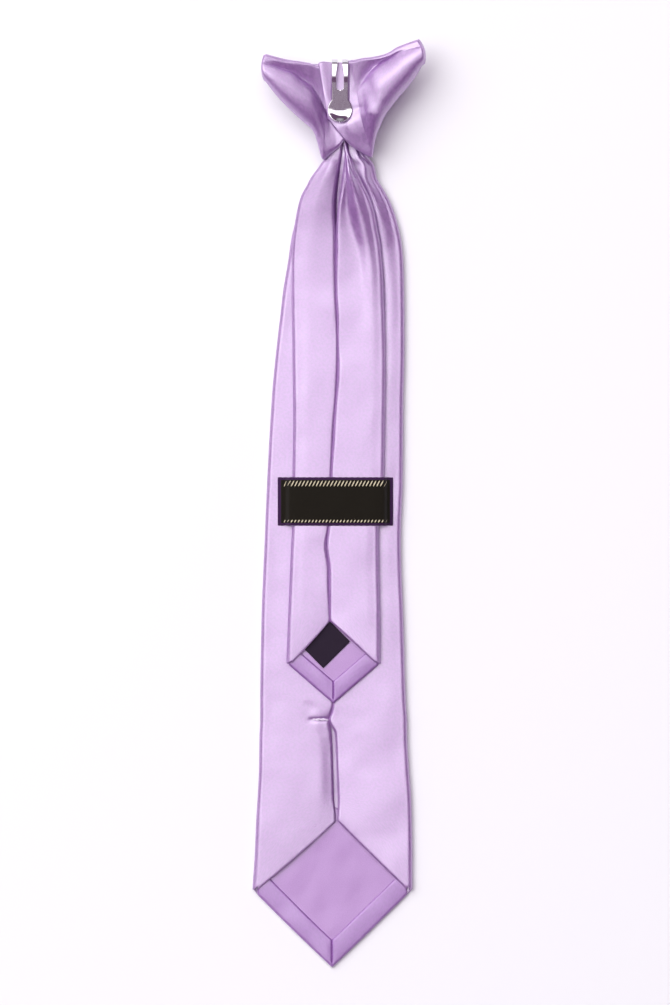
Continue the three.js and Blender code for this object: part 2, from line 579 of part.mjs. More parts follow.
const rightWingRows = table(wingColumns, [
  [0.49, 1.21, 0.52, 0.96, 0.018, 0.4, 0.14, 0.42, 0.46, 0.42, 0.5, 0.4, 0.02, 180, 0.08, 0.02, 90, 0.1],
  [0.47, 1.2, 0.51, 0.94, 0.018, 0.6, 0.14, 0.68, 0.76, 0.42, 0.84, 0.48, 0.13, 180, 0.09, 0.11, 90, 0.11],
  [0.41, 1.16, 0.48, 0.87, 0, 0.52, 0.1, 0.66, 0.76, 0.42, 0.88, 0.36, 0.13, 180, 0.12, 0.13, 90, 0.16],
  [0.35, 1.12, 0.43, 0.74, 0, 0.44, 0.06, 0.6, 0.72, 0.42, 0.86, 0.3, 0.1, 180, 0.14, 0.14, 90, 0.2],
  [0.31, 1.08, 0.37, 0.63, 0, 0.3, 0.05, 0.3, 0.66, 0.42, 0.82, 0.25, 0.07, 180, 0.16, 0.14, 90, 0.22],
  [0.26, 1.05, 0.32, 0.53, 0, 0.2, 0.07, 0.16, 0.58, 0.42, 0.76, 0.22, 0.05, 180, 0.16, 0.13, 90, 0.22],
  [0.21, 1.03, 0.28, 0.43, 0, 0.12, 0.14, 0.06, 0.5, 0.44, 0.66, 0.18, 0.04, 180, 0.14, 0.12, 90, 0.16],
  [0.15, 1.02, 0.25, 0.33, 0, 0.06, 0.22, 0.02, 0.42, 0.46, 0.54, 0.14, 0.03, 160, 0.08, 0.11, 30, 0.06],
  [0.11, 1, 0.23, 0.23, 0, 0.03, 0.27, 0, 0.32, 0.5, 0.42, 0.1, 0.02, 120, 0.04, 0.1, 5, 0.12],
  [0.08, 0.99, 0.21, 0.12, 0, 0, 0.29, 0, 0.22, 0.54, 0.3, 0.06, 0, 60, 0.01, 0.08, 0, 0.13],
  [0.06, 0.99, 0.2, 0.02, 0, 0, 0.31, 0, 0.12, 0.58, 0.2, 0, -0.03, 40, 0.003, 0.03, 8, 0.045],
  [0.04, 0.98, 0.14, 0.07, 0, 0, 0.34, 0, 0.04, 0.66, 0.1, 0, -0.03, 40, 0.003, 0, 80, 0.04],
  [0, 0.98, 0.07, 0.14, 0, 0, 0.36, 0, 0.02, 0.7, 0.04, 0, -0.03, 40, 0.003, -0.02, 40, 0.02],
  [-0.05, 0.98, 0.03, 0.21, 0, 0, 0.36, 0, 0, 0.7, 0.06, 0.02, -0.03, 40, 0.003, -0.04, 5, 0.003],
  [-0.09, 0.98, -0.02, 0.32, 0, 0, 0.36, 0, 0, 0.7, 0.06, 0.02, -0.03, 40, 0.003, -0.04, 5, 0.003],
  [-0.12, 0.96, -0.06, 0.41, 0, 0, 0.36, 0, 0, 0.7, 0.04, 0.02, -0.03, 40, 0.003, -0.04, 5, 0.003],
]);

const shoulderRun = 0.07;
const hemShares = [1, 0.5, 0.12];
function wingLine(row, level) {
  const top = new THREE.Vector3(row.topX * wingSpan, row.topY * knotHeight, 0);
  const low = new THREE.Vector3(row.lowX * wingSpan, row.lowY * knotHeight, 0);
  const down = low.clone().sub(top);
  const length = down.length();
  down.normalize();
  const bowSide = new THREE.Vector3(1, 0, 0);
  const place = (v, z) => {
    const point = top.clone().addScaledVector(down, clothWall / 2 + v * (length - clothWall));
    const bow = row.bow * wingSpan * 4 * v * (1 - v);
    return point.addScaledVector(bowSide, bow).setZ(z);
  };
  const height = (rise) => level + rise * wingHeight;
  const topRadius = foldRadius + row.topRoll * wingHeight;
  const lowRadius = foldRadius + row.lowRoll * wingHeight;
  const line = [];
  // Top edge: hem, then the fold up to the sheet's face.
  const topArc = (turn) => {
    const angle = degrees(turn);
    const back = topRadius * (1 - Math.sin(angle));
    return { back, z: height(row.topRise) - topRadius * (1 - Math.cos(angle)) };
  };
  const topEnd = topArc(row.topTurn);
  const topRun = new THREE.Vector2(-Math.cos(degrees(row.topTurn)), -Math.sin(degrees(row.topTurn)));
  const span = length - clothWall;
  for (const share of hemShares) {
    const run = share * row.topHem * knotHeight;
    line.push(place((topEnd.back + topRun.x * run) / span, topEnd.z + topRun.y * run));
  }
  for (const share of [1, 0.75, 0.5, 0.25]) {
    const arc = topArc(row.topTurn * share);
    line.push(place(arc.back / span, arc.z));
  }
  const faceStart = topRadius / span;
  line.push(place(faceStart, height(row.topRise)));
  // Face of the sheet: crease, shoulder and crest.
  const creaseAt = faceStart + (1 - faceStart) * row.creaseAt;
  line.push(place(mix(faceStart, creaseAt, 0.5), height(mix(row.topRise, row.creaseRise, 0.5))));
  line.push(place(creaseAt, height(row.creaseRise)));
  line.push(place(creaseAt + shoulderRun, height(row.shoulderRise)));
  const crestAt = mix(creaseAt + shoulderRun, 1, row.crestAt - 0.1);
  const shoulder = height(mix(row.shoulderRise, row.crestRise, 0.72));
  line.push(place(mix(creaseAt + shoulderRun, crestAt, 0.5), shoulder));
  line.push(place(crestAt, height(row.crestRise)));
  // Round side down to the low edge, where the cloth stands upright, then the fold and hem.
  const lowZ = height(row.lowRise) - lowRadius;
  for (const turn of [25, 48, 70, 90]) {
    const angle = degrees(turn);
    const v = mix(crestAt, 1, Math.sin(angle));
    line.push(place(v, mix(lowZ, height(row.crestRise), Math.cos(angle))));
  }
  for (const share of [0.5, 1]) {
    const angle = degrees(row.lowTurn * share);
    line.push(place(1 - (lowRadius * (1 - Math.cos(angle))) / span, lowZ - lowRadius * Math.sin(angle)));
  }
  const lowAngle = degrees(row.lowTurn);
  const backFrom = lowRadius * (1 - Math.cos(lowAngle));
  for (const share of hemShares.toReversed()) {
    const run = share * row.lowHem * knotHeight;
    const v = 1 - (backFrom + Math.sin(lowAngle) * run) / span;
    line.push(place(v, lowZ - lowRadius * Math.sin(lowAngle) - Math.cos(lowAngle) * run));
  }
  return line;
}
const wingGeometry = (rows, level) =>
  sheetGeometry(rows.map((row) => wingLine(row, level)), clothWall);
add("left_wing", wingGeometry(leftWingRows, leftLevel), satin);
add("right_wing", wingGeometry(rightWingRows, rightLevel), satin);

// Clip: one bent strip of spring steel with a slot up its middle and a round, lifted lip. The
// bent side profile is cut to the outline that it has from above.
function clipGeometry() {
  const apexY = knotHeight + clipOver;
  const bendY = apexY - clipBend - clipWall / 2;
  const legZ = backLevel - seat - clipWall / 2;
  const clothTop = rightLevel + clothWall / 2;
  const lipY = apexY - clipReach;
  const touchY = lipY + clipDisc * clipTouchAt;
  const touchZ = clothTop + clipTouch + clipWall / 2;
  const line = [new THREE.Vector2(apexY - clipLegLength, legZ)];
  for (let turn = -90; turn <= 90; turn += 15) {
    const angle = degrees(turn);
    const z = legZ + clipBend + clipBend * Math.sin(angle);
    line.push(new THREE.Vector2(bendY + clipBend * Math.cos(angle), z));
  }
  const tongueZ = legZ + 2 * clipBend;
  const seatY = bendY - clipSeat;
  line.push(new THREE.Vector2(seatY, tongueZ));
  line.push(new THREE.Vector2(mix(seatY, touchY, clipSlope), touchZ));
  for (const share of spaced(8)) {
    const lift = clipFlare * share * share;
    line.push(new THREE.Vector2(mix(touchY, lipY, share), touchZ + lift));
  }
  const outer = [];
  const inner = [];
  line.forEach((point, i) => {
    const before = point.clone().sub(line[Math.max(i - 1, 0)]).normalize();
    const after = line[Math.min(i + 1, line.length - 1)].clone().sub(point).normalize();
    const along = before.clone().add(after).normalize();
    const mitre = clipWall / 2 / along.dot(i > 0 ? before : after);
    const side = new THREE.Vector2(-along.y, along.x).multiplyScalar(mitre);
    outer.push(point.clone().add(side));
    inner.push(point.clone().sub(side));
  });
  const band = new THREE.ExtrudeGeometry(new THREE.Shape([...outer, ...inner.toReversed()]), {
    depth: clipDisc * 1.2,
    bevelEnabled: false,
  });
  band.translate(0, 0, -clipDisc * 0.6);
  band.applyMatrix4(new THREE.Matrix4().set(0, 0, 1, 0, 1, 0, 0, 0, 0, 1, 0, 0, 0, 0, 0, 1));
  const half = clipWidth / 2;
  const discY = lipY + clipDisc / 2;
  const neck = Math.acos((half * 2) / clipDisc);
  const outline = new THREE.Shape();
  const past = apexY + clipBend;
  outline.moveTo(-half, past);
  outline.lineTo(-half, discY + (clipDisc / 2) * Math.sin(neck));
  outline.absarc(0, discY, clipDisc / 2, Math.PI - neck, 2 * Math.PI + neck, false);
  outline.lineTo(half, past);
  const slotEnd = apexY - clipSlotEnd + clipSlot / 2;
  outline.lineTo(clipSlot / 2, past);
  outline.lineTo(clipSlot / 2, slotEnd);
  outline.absarc(0, slotEnd, clipSlot / 2, 0, -Math.PI, true);
  outline.lineTo(-clipSlot / 2, past);
  const plan = new THREE.ExtrudeGeometry(outline, {
    depth: tongueZ + 2 * clipFlare,
    bevelEnabled: false,
    curveSegments: 20,
  });
  const solid = solidOf(band).intersect(solidOf(plan));
  return geometryOf(solid);
}
const clip = add("spring_clip", clipGeometry(), clipSteel);
clip.position.x = clipX;

// Keeper label: a woven loop sewn at both ends to the front blade, bridging the tail.
function labelGeometry() {
  const middleY = -labelAlong * bladeLength;
  const along = (labelAlong * bladeLength) / tailLength;
  const { left, right } = bladeEdges(tail, along);
  const lowZ = foldedDepth + seat + labelWall / 2;
  const highZ = tail.base(along) + foldedDepth + ply + labelWall / 2;
  const start = labelShift - labelWidth / 2;
  const end = labelShift + labelWidth / 2;
  const path = [
    [start, lowZ],
    [mix(start, left - labelClimb, 0.6), lowZ],
    [left - labelClimb * 0.55, mix(lowZ, highZ, 0.32)],
    [left - labelClear, mix(lowZ, highZ, 0.92)],
    [left + labelClimb, highZ],
    [mix(left, right, 0.5), highZ + 0.2],
    [right - labelClimb, highZ],
    [right + labelClear, mix(lowZ, highZ, 0.92)],
    [right + labelClimb * 0.5, mix(lowZ, highZ, 0.36)],
    [mix(end, right + labelClimb * 0.5, 0.5), mix(lowZ, highZ, 0.06)],
    [end, lowZ],
  ];
  const rows = [-0.5, 0, 0.5].map((share) =>
    path.map(([x, z]) => new THREE.Vector3(x, middleY + share * labelHeight, z)),
  );
  return sheetGeometry(rows, labelWall);
}
add("keeper_label", labelGeometry(), wovenLabel);

// The origin is the middle of the tie's footprint, on the surface it lies on.
tie.updateMatrixWorld(true);
const bounds = new THREE.Box3().setFromObject(tie);
const middle = bounds.getCenter(new THREE.Vector3());
tie.position.set(-middle.x, -middle.y, -bounds.min.z);

export default tie;
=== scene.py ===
# A lilac satin clip-on necktie lying face down, lit softly from the upper left.
import math
import bmesh
import bpy
import numpy as np
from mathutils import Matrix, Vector


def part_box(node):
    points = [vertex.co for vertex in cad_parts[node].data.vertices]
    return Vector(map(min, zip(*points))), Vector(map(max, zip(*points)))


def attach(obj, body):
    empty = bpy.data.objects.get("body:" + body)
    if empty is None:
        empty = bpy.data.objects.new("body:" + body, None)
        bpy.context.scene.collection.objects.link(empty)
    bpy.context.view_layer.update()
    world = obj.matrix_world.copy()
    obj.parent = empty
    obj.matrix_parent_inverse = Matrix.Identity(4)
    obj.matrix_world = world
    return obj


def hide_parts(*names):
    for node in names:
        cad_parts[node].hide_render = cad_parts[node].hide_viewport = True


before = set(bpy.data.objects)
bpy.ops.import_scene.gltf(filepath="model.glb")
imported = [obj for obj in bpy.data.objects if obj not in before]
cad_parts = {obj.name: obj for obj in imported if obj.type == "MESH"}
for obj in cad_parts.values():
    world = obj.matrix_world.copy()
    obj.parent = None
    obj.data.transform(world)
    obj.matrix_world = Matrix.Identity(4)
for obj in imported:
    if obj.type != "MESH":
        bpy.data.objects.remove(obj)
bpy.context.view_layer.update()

mm = 0.001

# Sizes in millimetres, with the knot's foot as origin, +Y towards the knot and +Z up.
cloth = {
    "wall": 1.0,  # satin with its interlining
    "wrapWall": 1.5,  # doubled interlining in the front of the knot
    "depth": 4.6,  # a folded blade, front to back
    "ply": 0.4,  # air between two layers of one fold
    "seat": 0.3,  # air between pieces that rest on each other
    "lipGap": 0.35,  # closed back seam
    "sideRoll": 1.2,  # a side fold is this much wider than it is high
}
knot = {
    "height": 54.0,  # from its foot to its top
    "topWidth": 44.0,
    "footWidth": 24.5,
    "footRise": 4.0,  # the wrap begins this far over the foot
    "lean": 5.0,  # the knot's foot stands this far right of the blade's centre line
    "leanFade": 0.3,  # share of a blade over which the lean dies out
    "bandInset": 2.0,  # wrap and band end this far below the top
    "corner": 4.4,  # outer radius of the wrap's long corners
    "throatEase": 1.9,  # air beside the gathered blade
    "throatBlade": 1.68,  # gathered blade in the knot, in folded depths
    "throatTail": 0.83,  # the tail in the knot, in folded depths
}
throatHalf = knot["footWidth"] / 2 - cloth["wrapWall"] - knot["throatEase"]
throatFloor = cloth["wrapWall"] + 2 * cloth["seat"]
throatTop = throatFloor + knot["throatBlade"] * cloth["depth"]
backLevel = throatTop + cloth["ply"] + knot["throatTail"] * cloth["depth"] + cloth["seat"]
leftLevel = backLevel + cloth["wall"] * 1.5 + cloth["ply"]
rightLevel = leftLevel + cloth["wall"] + cloth["ply"] + cloth["seat"] / 2

# The frame's own boxes place the knot's foot.
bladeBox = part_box("front_blade")
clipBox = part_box("spring_clip")


def readTable(names, rows):
    # Rows of numbers as one array for each named column.
    return dict(zip(names.split(), np.array(rows, float).T))


def slopesThrough(places, values):
    # Slope at each row: the harmonic mean of the slopes beside it, or none at a turn or an end.
    rise = np.diff(values, axis=0) / np.diff(places, axis=0)
    none = np.zeros_like(rise[:1])
    before = np.concatenate([none, rise])
    after = np.concatenate([rise, none])
    total = before + after
    safe = np.where(total == 0, 1, total)
    return np.where(before * after > 0, 2 * before * after / safe, 0)


def hermite(share, run, low, high, lowSlope, highSlope):
    # Cubic between two values with a slope at each end, at a share of the way.
    s2, s3 = share**2, share**3
    return (
        (2 * s3 - 3 * s2 + 1) * low
        + (s3 - 2 * s2 + share) * run * lowSlope
        + (3 * s2 - 2 * s3) * high
        + (s3 - s2) * run * highSlope
    )


def smoothTrack(places, values, at):
    # Value at a place, on cubic pieces through the rows that never overshoot them.
    places = np.asarray(places, float)
    values = np.asarray(values, float)
    at = np.clip(at, places[0], places[-1])
    slopes = slopesThrough(places, values)
    i = np.clip(np.searchsorted(places, at, side="right") - 1, 0, len(places) - 2)
    run = places[i + 1] - places[i]
    return hermite(
        (at - places[i]) / run, run, values[i], values[i + 1], slopes[i], slopes[i + 1]
    )


def stackedTrack(places, values, at):
    # The same, where every point has its own few rows: places and values are lists of arrays.
    places = np.array([np.broadcast_to(p, at.shape) for p in places], float)
    values = np.array([np.broadcast_to(v, at.shape) for v in values], float)
    slopes = slopesThrough(places, values)
    result = values[-1].copy()
    for i in range(len(places) - 1):
        run = places[i + 1] - places[i]
        share = np.clip((at - places[i]) / run, 0, 1)
        piece = hermite(share, run, values[i], values[i + 1], slopes[i], slopes[i + 1])
        result = np.where((at >= places[i]) & (at <= places[i + 1]), piece, result)
    return result


def mix(a, b, share):
    return a + (b - a) * share


def smoothStep(low, high, at):
    # 0 below low, 1 above high, and a soft S between them.
    s = np.clip((at - low) / (high - low), 0, 1)
    return s * s * (3 - 2 * s)


def softWaves(x, y, seed, span, height, count=7):
    # Sum of a few sine waves in seeded directions, with wavelengths near span.
    rng = np.random.default_rng(seed)
    total = np.zeros(np.broadcast(x, y).shape)
    for _ in range(count):
        angle = rng.uniform(0, math.pi)
        length = span * rng.uniform(0.6, 1.7)
        phase = rng.uniform(0, 2 * math.pi)
        total += np.sin(2 * math.pi * (x * math.cos(angle) + y * math.sin(angle)) / length + phase)
    return total * height / math.sqrt(count)


def lineBump(x, y, start, end, width, height, fade=0.25, rightWidth=None):
    # Ridge or, with a negative height, groove along a line: a bell across it, fading at its ends.
    # The side on the right, seen from start to end, may have a width of its own.
    dx, dy = end[0] - start[0], end[1] - start[1]
    length = math.hypot(dx, dy)
    along = ((x - start[0]) * dx + (y - start[1]) * dy) / length**2
    off = ((x - start[0]) * dy - (y - start[1]) * dx) / length
    ends = smoothStep(-fade, fade, along) * (1 - smoothStep(1 - fade, 1 + fade, along))
    bell = np.where(off > 0, rightWidth or width, width)
    return height * ends * np.exp(-((off / bell) ** 2))


def throughPoints(points, samples):
    # Smooth line through each row of points [row, point, xyz], by Catmull-Rom cubics.
    count = points.shape[1]
    at = np.linspace(0, count - 1, samples)
    i = np.clip(at.astype(int), 0, count - 2)
    s = (at - i)[None, :, None]
    pick = lambda n: points[:, np.clip(n, 0, count - 1)]
    p0, p1, p2, p3 = pick(i - 1), pick(i), pick(i + 1), pick(i + 2)
    return 0.5 * (
        2 * p1
        + (p2 - p0) * s
        + (2 * p0 - 5 * p1 + 4 * p2 - p3) * s**2
        + (3 * p1 - p0 - 3 * p2 + p3) * s**3
    )


def gridNormals(grid):
    # Unit normals of a grid [row, column, xyz], from the differences along its two directions.
    across = np.gradient(grid, axis=1)
    along = np.gradient(grid, axis=0)
    normals = np.cross(across, along)
    size = np.linalg.norm(normals, axis=2, keepdims=True)
    return normals / np.where(size == 0, 1, size)


def gridFaces(rows, columns, start=0, wrap=False):
    # Quads of a grid numbered row by row; wrap joins the last column to the first.
    wide = columns if wrap else columns - 1
    j, i = np.meshgrid(np.arange(rows - 1), np.arange(wide), indexing="ij")
    right = (i + 1) % columns
    quads = [j * columns + i, j * columns + right, (j + 1) * columns + right, (j + 1) * columns + i]
    return np.stack(quads, axis=-1).reshape(-1, 4) + start


def addPiece(name, mesh, material):
    # A mesh as a smooth piece of one material on the root body.
    mesh.polygons.foreach_set("use_smooth", np.ones(len(mesh.polygons), bool))
    mesh.materials.append(material)
    mesh.validate()
    piece = bpy.data.objects.new(name, mesh)
    bpy.context.scene.collection.objects.link(piece)
    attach(piece, "root")
    return piece


def makeMesh(name, points, faces, material, uv):
    # Piece from points in millimetres and their quads, turned so that the volume is positive.
    corner = points[faces]
    middle = corner.mean(axis=1)
    turn = np.cross(corner[:, 2] - corner[:, 0], corner[:, 3] - corner[:, 1])
    if (middle * turn).sum() < 0:
        faces = faces[:, ::-1]
    mesh = bpy.data.meshes.new(name)
    mesh.from_pydata(((points + knotFoot) * mm).tolist(), [], faces.tolist())
    layer = mesh.uv_layers.new(name="cloth")
    layer.data.foreach_set("uv", (uv[faces.reshape(-1)] * mm).reshape(-1))
    return addPiece(name, mesh, material)


def arcLengths(grid):
    # Cloth coordinates of a grid in millimetres: run along the rows and along the columns.
    across = np.linalg.norm(np.diff(grid, axis=1), axis=2)
    u = np.concatenate([np.zeros((len(grid), 1)), np.cumsum(across, axis=1)], axis=1)
    u -= u[:, u.shape[1] // 2][:, None]
    down = np.linalg.norm(np.diff(grid, axis=0), axis=2).mean(axis=1)
    v = np.concatenate([[0], np.cumsum(down)])
    return np.stack([u, np.broadcast_to(v[:, None], u.shape)], axis=-1)


def clothSheet(name, grid, wall, material, rim=0.4):
    # Closed sheet from a grid of mid-surface points: each side is moved half a wall along the
    # normals, and a ring of points pushed outwards by rim walls rounds the edge between them.
    rows, columns = grid.shape[:2]
    normals = gridNormals(grid)
    uv = arcLengths(grid).reshape(-1, 2)
    outer = (grid + normals * wall / 2).reshape(-1, 3)
    inner = (grid - normals * wall / 2).reshape(-1, 3)
    number = np.arange(rows * columns).reshape(rows, columns)
    border = np.concatenate(
        [number[0, :-1], number[:-1, -1], number[-1, :0:-1], number[:0:-1, 0]]
    )
    across = np.gradient(grid, axis=1).reshape(-1, 3)
    along = np.gradient(grid, axis=0).reshape(-1, 3)
    unit = lambda v: v / np.maximum(np.linalg.norm(v, axis=1, keepdims=True), 1e-9)
    row, column = border // columns, border % columns
    out = unit(across)[border] * ((column == columns - 1) * 1.0 - (column == 0))[:, None]
    out = out + unit(along)[border] * ((row == rows - 1) * 1.0 - (row == 0))[:, None]
    ring = grid.reshape(-1, 3)[border] + unit(out) * wall * rim
    points = np.concatenate([outer, inner, ring])
    size, count = rows * columns, len(border)
    after = np.roll(np.arange(count), -1)
    edge = 2 * size + np.arange(count)
    faces = np.concatenate(
        [
            gridFaces(rows, columns),
            gridFaces(rows, columns, size)[:, ::-1],
            np.stack([border[after], border, edge, edge[after]], axis=1),
            np.stack([edge[after], edge, size + border, size + border[after]], axis=1),
        ]
    )
    return makeMesh(name, points, faces, material, np.concatenate([uv, uv, uv[border]]))


def threadTube(name, lines, radius, material, sides=8, flat=1.0, taper=0.35):
    # Threads along lines [line, point, xyz]: a ring of points round each, thinner at the ends.
    lines = np.asarray(lines, float)
    count, length = lines.shape[:2]
    along = np.gradient(lines, axis=1)
    along /= np.linalg.norm(along, axis=2, keepdims=True)
    side = np.cross(along, [0.0, 0.0, 1.0])
    side /= np.maximum(np.linalg.norm(side, axis=2, keepdims=True), 1e-6)
    up = np.cross(side, along)
    end = np.abs(np.linspace(-1, 1, length)) ** 6
    size = radius * (1 - (1 - taper) * end)[None, :, None, None]
    turn = np.linspace(0, 2 * math.pi, sides, endpoint=False)
    upward = up[:, :, None] * np.sin(turn)[:, None] * flat
    ring = side[:, :, None] * np.cos(turn)[:, None] + upward
    points = (lines[:, :, None] + ring * size).reshape(-1, 3)
    tips = lines[:, [0, -1]] - along[:, [0, -1]] * np.array([radius, -radius])[None, :, None] * 0.6
    faces = []
    block = length * sides
    for n in range(count):
        faces.append(gridFaces(length, sides, n * block, wrap=True))
        i = np.arange(sides)
        for row, tip in ((0, 2 * n), (length - 1, 2 * n + 1)):
            a = n * block + row * sides + i
            b = n * block + row * sides + (i + 1) % sides
            t = np.full(sides, count * block + tip)
            faces.append(np.stack([b, a, t, t] if row == 0 else [a, b, t, t], axis=1))
    allPoints = np.concatenate([points, tips.reshape(-1, 3)])
    return makeTriangled(name, allPoints, np.concatenate(faces), material)


def makeTriangled(name, points, faces, material):
    # As makeMesh, but a quad whose last two corners are one point becomes a triangle.
    mesh = bpy.data.meshes.new(name)
    rows = [face[:3] if face[2] == face[3] else face for face in faces.tolist()]
    mesh.from_pydata(((points + knotFoot) * mm).tolist(), [], rows)
    return addPiece(name, mesh, material)


# Materials

def srgb(code):
    # Linear colour of a hex code.
    parts = [int(code[i : i + 2], 16) / 255 for i in (1, 3, 5)]
    return [c / 12.92 if c <= 0.04045 else ((c + 0.055) / 1.055) ** 2.4 for c in parts] + [1.0]


def newMaterial(name):
    # Empty material with its node tree and its shader.
    material = bpy.data.materials.new(name)
    material.use_nodes = True
    tree = material.node_tree
    return material, tree, tree.nodes["Principled BSDF"]


def addNode(tree, kind, settings=None, inputs=None, links=None):
    # Adds a node with its settings, input values and links from other sockets.
    node = tree.nodes.new(kind)
    for name, value in (settings or {}).items():
        setattr(node, name, value)
    for name, value in (inputs or {}).items():
        node.inputs[name].default_value = value
    for name, socket in (links or {}).items():
        tree.links.new(socket, node.inputs[name])
    return node


def fillRamp(ramp, stops):
    # Colour stops of a ramp, from (place, colour) pairs.
    elements = ramp.color_ramp.elements
    while len(elements) < len(stops):
        elements.new(0.5)
    for element, (place, colour) in zip(elements, stops):
        element.position = place
        element.color = colour


satin = {
    "shade": "#662883",  # colour between the sheen, where the floats lie away from the light
    "light": "#8f4fa2",  # the same cloth where the dye took lighter
    "tint": "#f3e4fb",  # sheen of the floats
    "roughness": 0.36,
    "ior": 3.0,  # long parallel floats return far more light than loose fibre does
    "specular": 1.0,
    "sheen": 0.12,
    "sheenRoughness": 0.4,
    "anisotropic": 0.35,
    "ribSpacing": 0.62,  # the real ribs are 0.2 mm apart, too fine to show
    "grain": 1.5,  # slubs and dye variation, in mm
    "drape": 22.0,  # soft unevenness of the interlining, in mm
}


def satinCloth(name, look):
    # Warp-faced microfibre satin: long floats give a soft wide sheen, with fine bias ribs and a
    # faint grain, and the layer behind shows as slow unevenness.
    material, tree, shader = newMaterial(name)
    uv = addNode(tree, "ShaderNodeUVMap", {"uv_map": "cloth"})
    cutOnBias = {"Rotation": (0, 0, math.radians(45))}
    bias = addNode(tree, "ShaderNodeMapping", None, cutOnBias, {"Vector": uv.outputs["UV"]})
    ribs = addNode(
        tree,
        "ShaderNodeTexWave",
        {"bands_direction": "X"},
        {"Scale": math.pi / (10 * look["ribSpacing"] * mm), "Distortion": 1.2, "Detail": 1.0},
        {"Vector": bias.outputs["Vector"]},
    )
    grain = addNode(
        tree,
        "ShaderNodeTexNoise",
        None,
        {"Scale": 1 / (look["grain"] * mm), "Detail": 3.0, "Roughness": 0.6},
        {"Vector": bias.outputs["Vector"]},
    )
    place = addNode(tree, "ShaderNodeTexCoord")
    drape = addNode(
        tree,
        "ShaderNodeTexNoise",
        None,
        {"Scale": 1 / (look["drape"] * mm), "Detail": 1.5, "Roughness": 0.45},
        {"Vector": place.outputs["Object"]},
    )
    both = addNode(
        tree,
        "ShaderNodeMath",
        {"operation": "MULTIPLY_ADD"},
        {1: 0.6},
        {0: grain.outputs["Fac"], 2: ribs.outputs["Fac"]},
    )
    tone = addNode(tree, "ShaderNodeValToRGB", None, None, {"Fac": grain.outputs["Fac"]})
    fillRamp(tone, [(0.38, srgb(look["shade"])), (0.62, srgb(look["light"]))])
    low, high = look["roughness"] - 0.08, look["roughness"] + 0.08
    gloss = addNode(
        tree,
        "ShaderNodeMapRange",
        None,
        {"From Min": 0.3, "From Max": 0.7, "To Min": low, "To Max": high},
        {"Value": grain.outputs["Fac"]},
    )
    swell = {"Strength": 0.6, "Distance": 1.2 * mm}
    slow = addNode(tree, "ShaderNodeBump", None, swell, {"Height": drape.outputs["Fac"]})
    fine = addNode(
        tree,
        "ShaderNodeBump",
        None,
        {"Strength": 0.5, "Distance": 0.08 * mm},
        {"Height": both.outputs["Value"], "Normal": slow.outputs["Normal"]},
    )
    tangent = addNode(tree, "ShaderNodeTangent", {"direction_type": "UV_MAP", "uv_map": "cloth"})
    shader.inputs["Anisotropic"].default_value = look["anisotropic"]
    shader.inputs["IOR"].default_value = look["ior"]
    shader.inputs["Specular IOR Level"].default_value = look["specular"]
    shader.inputs["Specular Tint"].default_value = srgb(look["tint"])
    shader.inputs["Sheen Weight"].default_value = look["sheen"]
    shader.inputs["Sheen Roughness"].default_value = look["sheenRoughness"]
    shader.inputs["Sheen Tint"].default_value = srgb(look["tint"])
    tree.links.new(tone.outputs["Color"], shader.inputs["Base Color"])
    tree.links.new(gloss.outputs["Result"], shader.inputs["Roughness"])
    tree.links.new(fine.outputs["Normal"], shader.inputs["Normal"])
    tree.links.new(tangent.outputs["Tangent"], shader.inputs["Tangent"])
    return material


def wovenYarn(name, dark, light, spacing, roughness, bump=0.4):
    # Plain or damask weave of dull yarn: two crossed sets of threads give a fine dark check.
    # Yarn lies about 0.2 mm apart, and the spacing is drawn coarser so that it shows.
    material, tree, shader = newMaterial(name)
    place = addNode(tree, "ShaderNodeTexCoord")
    scale = math.pi / (10 * spacing * mm)
    waves = [
        addNode(
            tree,
            "ShaderNodeTexWave",
            {"bands_direction": direction},
            {"Scale": scale, "Distortion": 0.4, "Detail": 1.0},
            {"Vector": place.outputs["Object"]},
        )
        for direction in ("X", "Y")
    ]
    weave = addNode(
        tree,
        "ShaderNodeMath",
        {"operation": "MAXIMUM"},
        None,
        {0: waves[0].outputs["Fac"], 1: waves[1].outputs["Fac"]},
    )
    tone = addNode(tree, "ShaderNodeValToRGB", None, None, {"Fac": weave.outputs["Value"]})
    fillRamp(tone, [(0.2, srgb(dark)), (0.9, srgb(light))])
    raised = {"Strength": bump, "Distance": 0.1 * mm}
    relief = addNode(tree, "ShaderNodeBump", None, raised, {"Height": weave.outputs["Value"]})
    shader.inputs["Roughness"].default_value = roughness
    shader.inputs["Specular IOR Level"].default_value = 0.12
    shader.inputs["Sheen Weight"].default_value = 0.05
    tree.links.new(tone.outputs["Color"], shader.inputs["Base Color"])
    tree.links.new(relief.outputs["Normal"], shader.inputs["Normal"])
    return material


def polishedNickel(name):
    # Nickel-plated spring steel, drawn and polished: a mirror that shows the room, with faint
    # marks 0.5 mm apart along the strip.
    material, tree, shader = newMaterial(name)
    place = addNode(tree, "ShaderNodeTexCoord")
    drawn = {"Scale": (1, 0.08, 1)}
    stretch = addNode(tree, "ShaderNodeMapping", None, drawn, {"Vector": place.outputs["Object"]})
    marks = addNode(
        tree,
        "ShaderNodeTexNoise",
        None,
        {"Scale": 1 / (0.5 * mm), "Detail": 3.0},
        {"Vector": stretch.outputs["Vector"]},
    )
    gloss = addNode(
        tree,
        "ShaderNodeMapRange",
        None,
        {"From Min": 0.3, "From Max": 0.7, "To Min": 0.04, "To Max": 0.09},
        {"Value": marks.outputs["Fac"]},
    )
    scratch = {"Strength": 0.02, "Distance": 0.05 * mm}
    relief = addNode(tree, "ShaderNodeBump", None, scratch, {"Height": marks.outputs["Fac"]})
    shader.inputs["Base Color"].default_value = srgb("#e4e2e6")
    shader.inputs["Metallic"].default_value = 1.0
    tree.links.new(gloss.outputs["Result"], shader.inputs["Roughness"])
    tree.links.new(relief.outputs["Normal"], shader.inputs["Normal"])
    return material


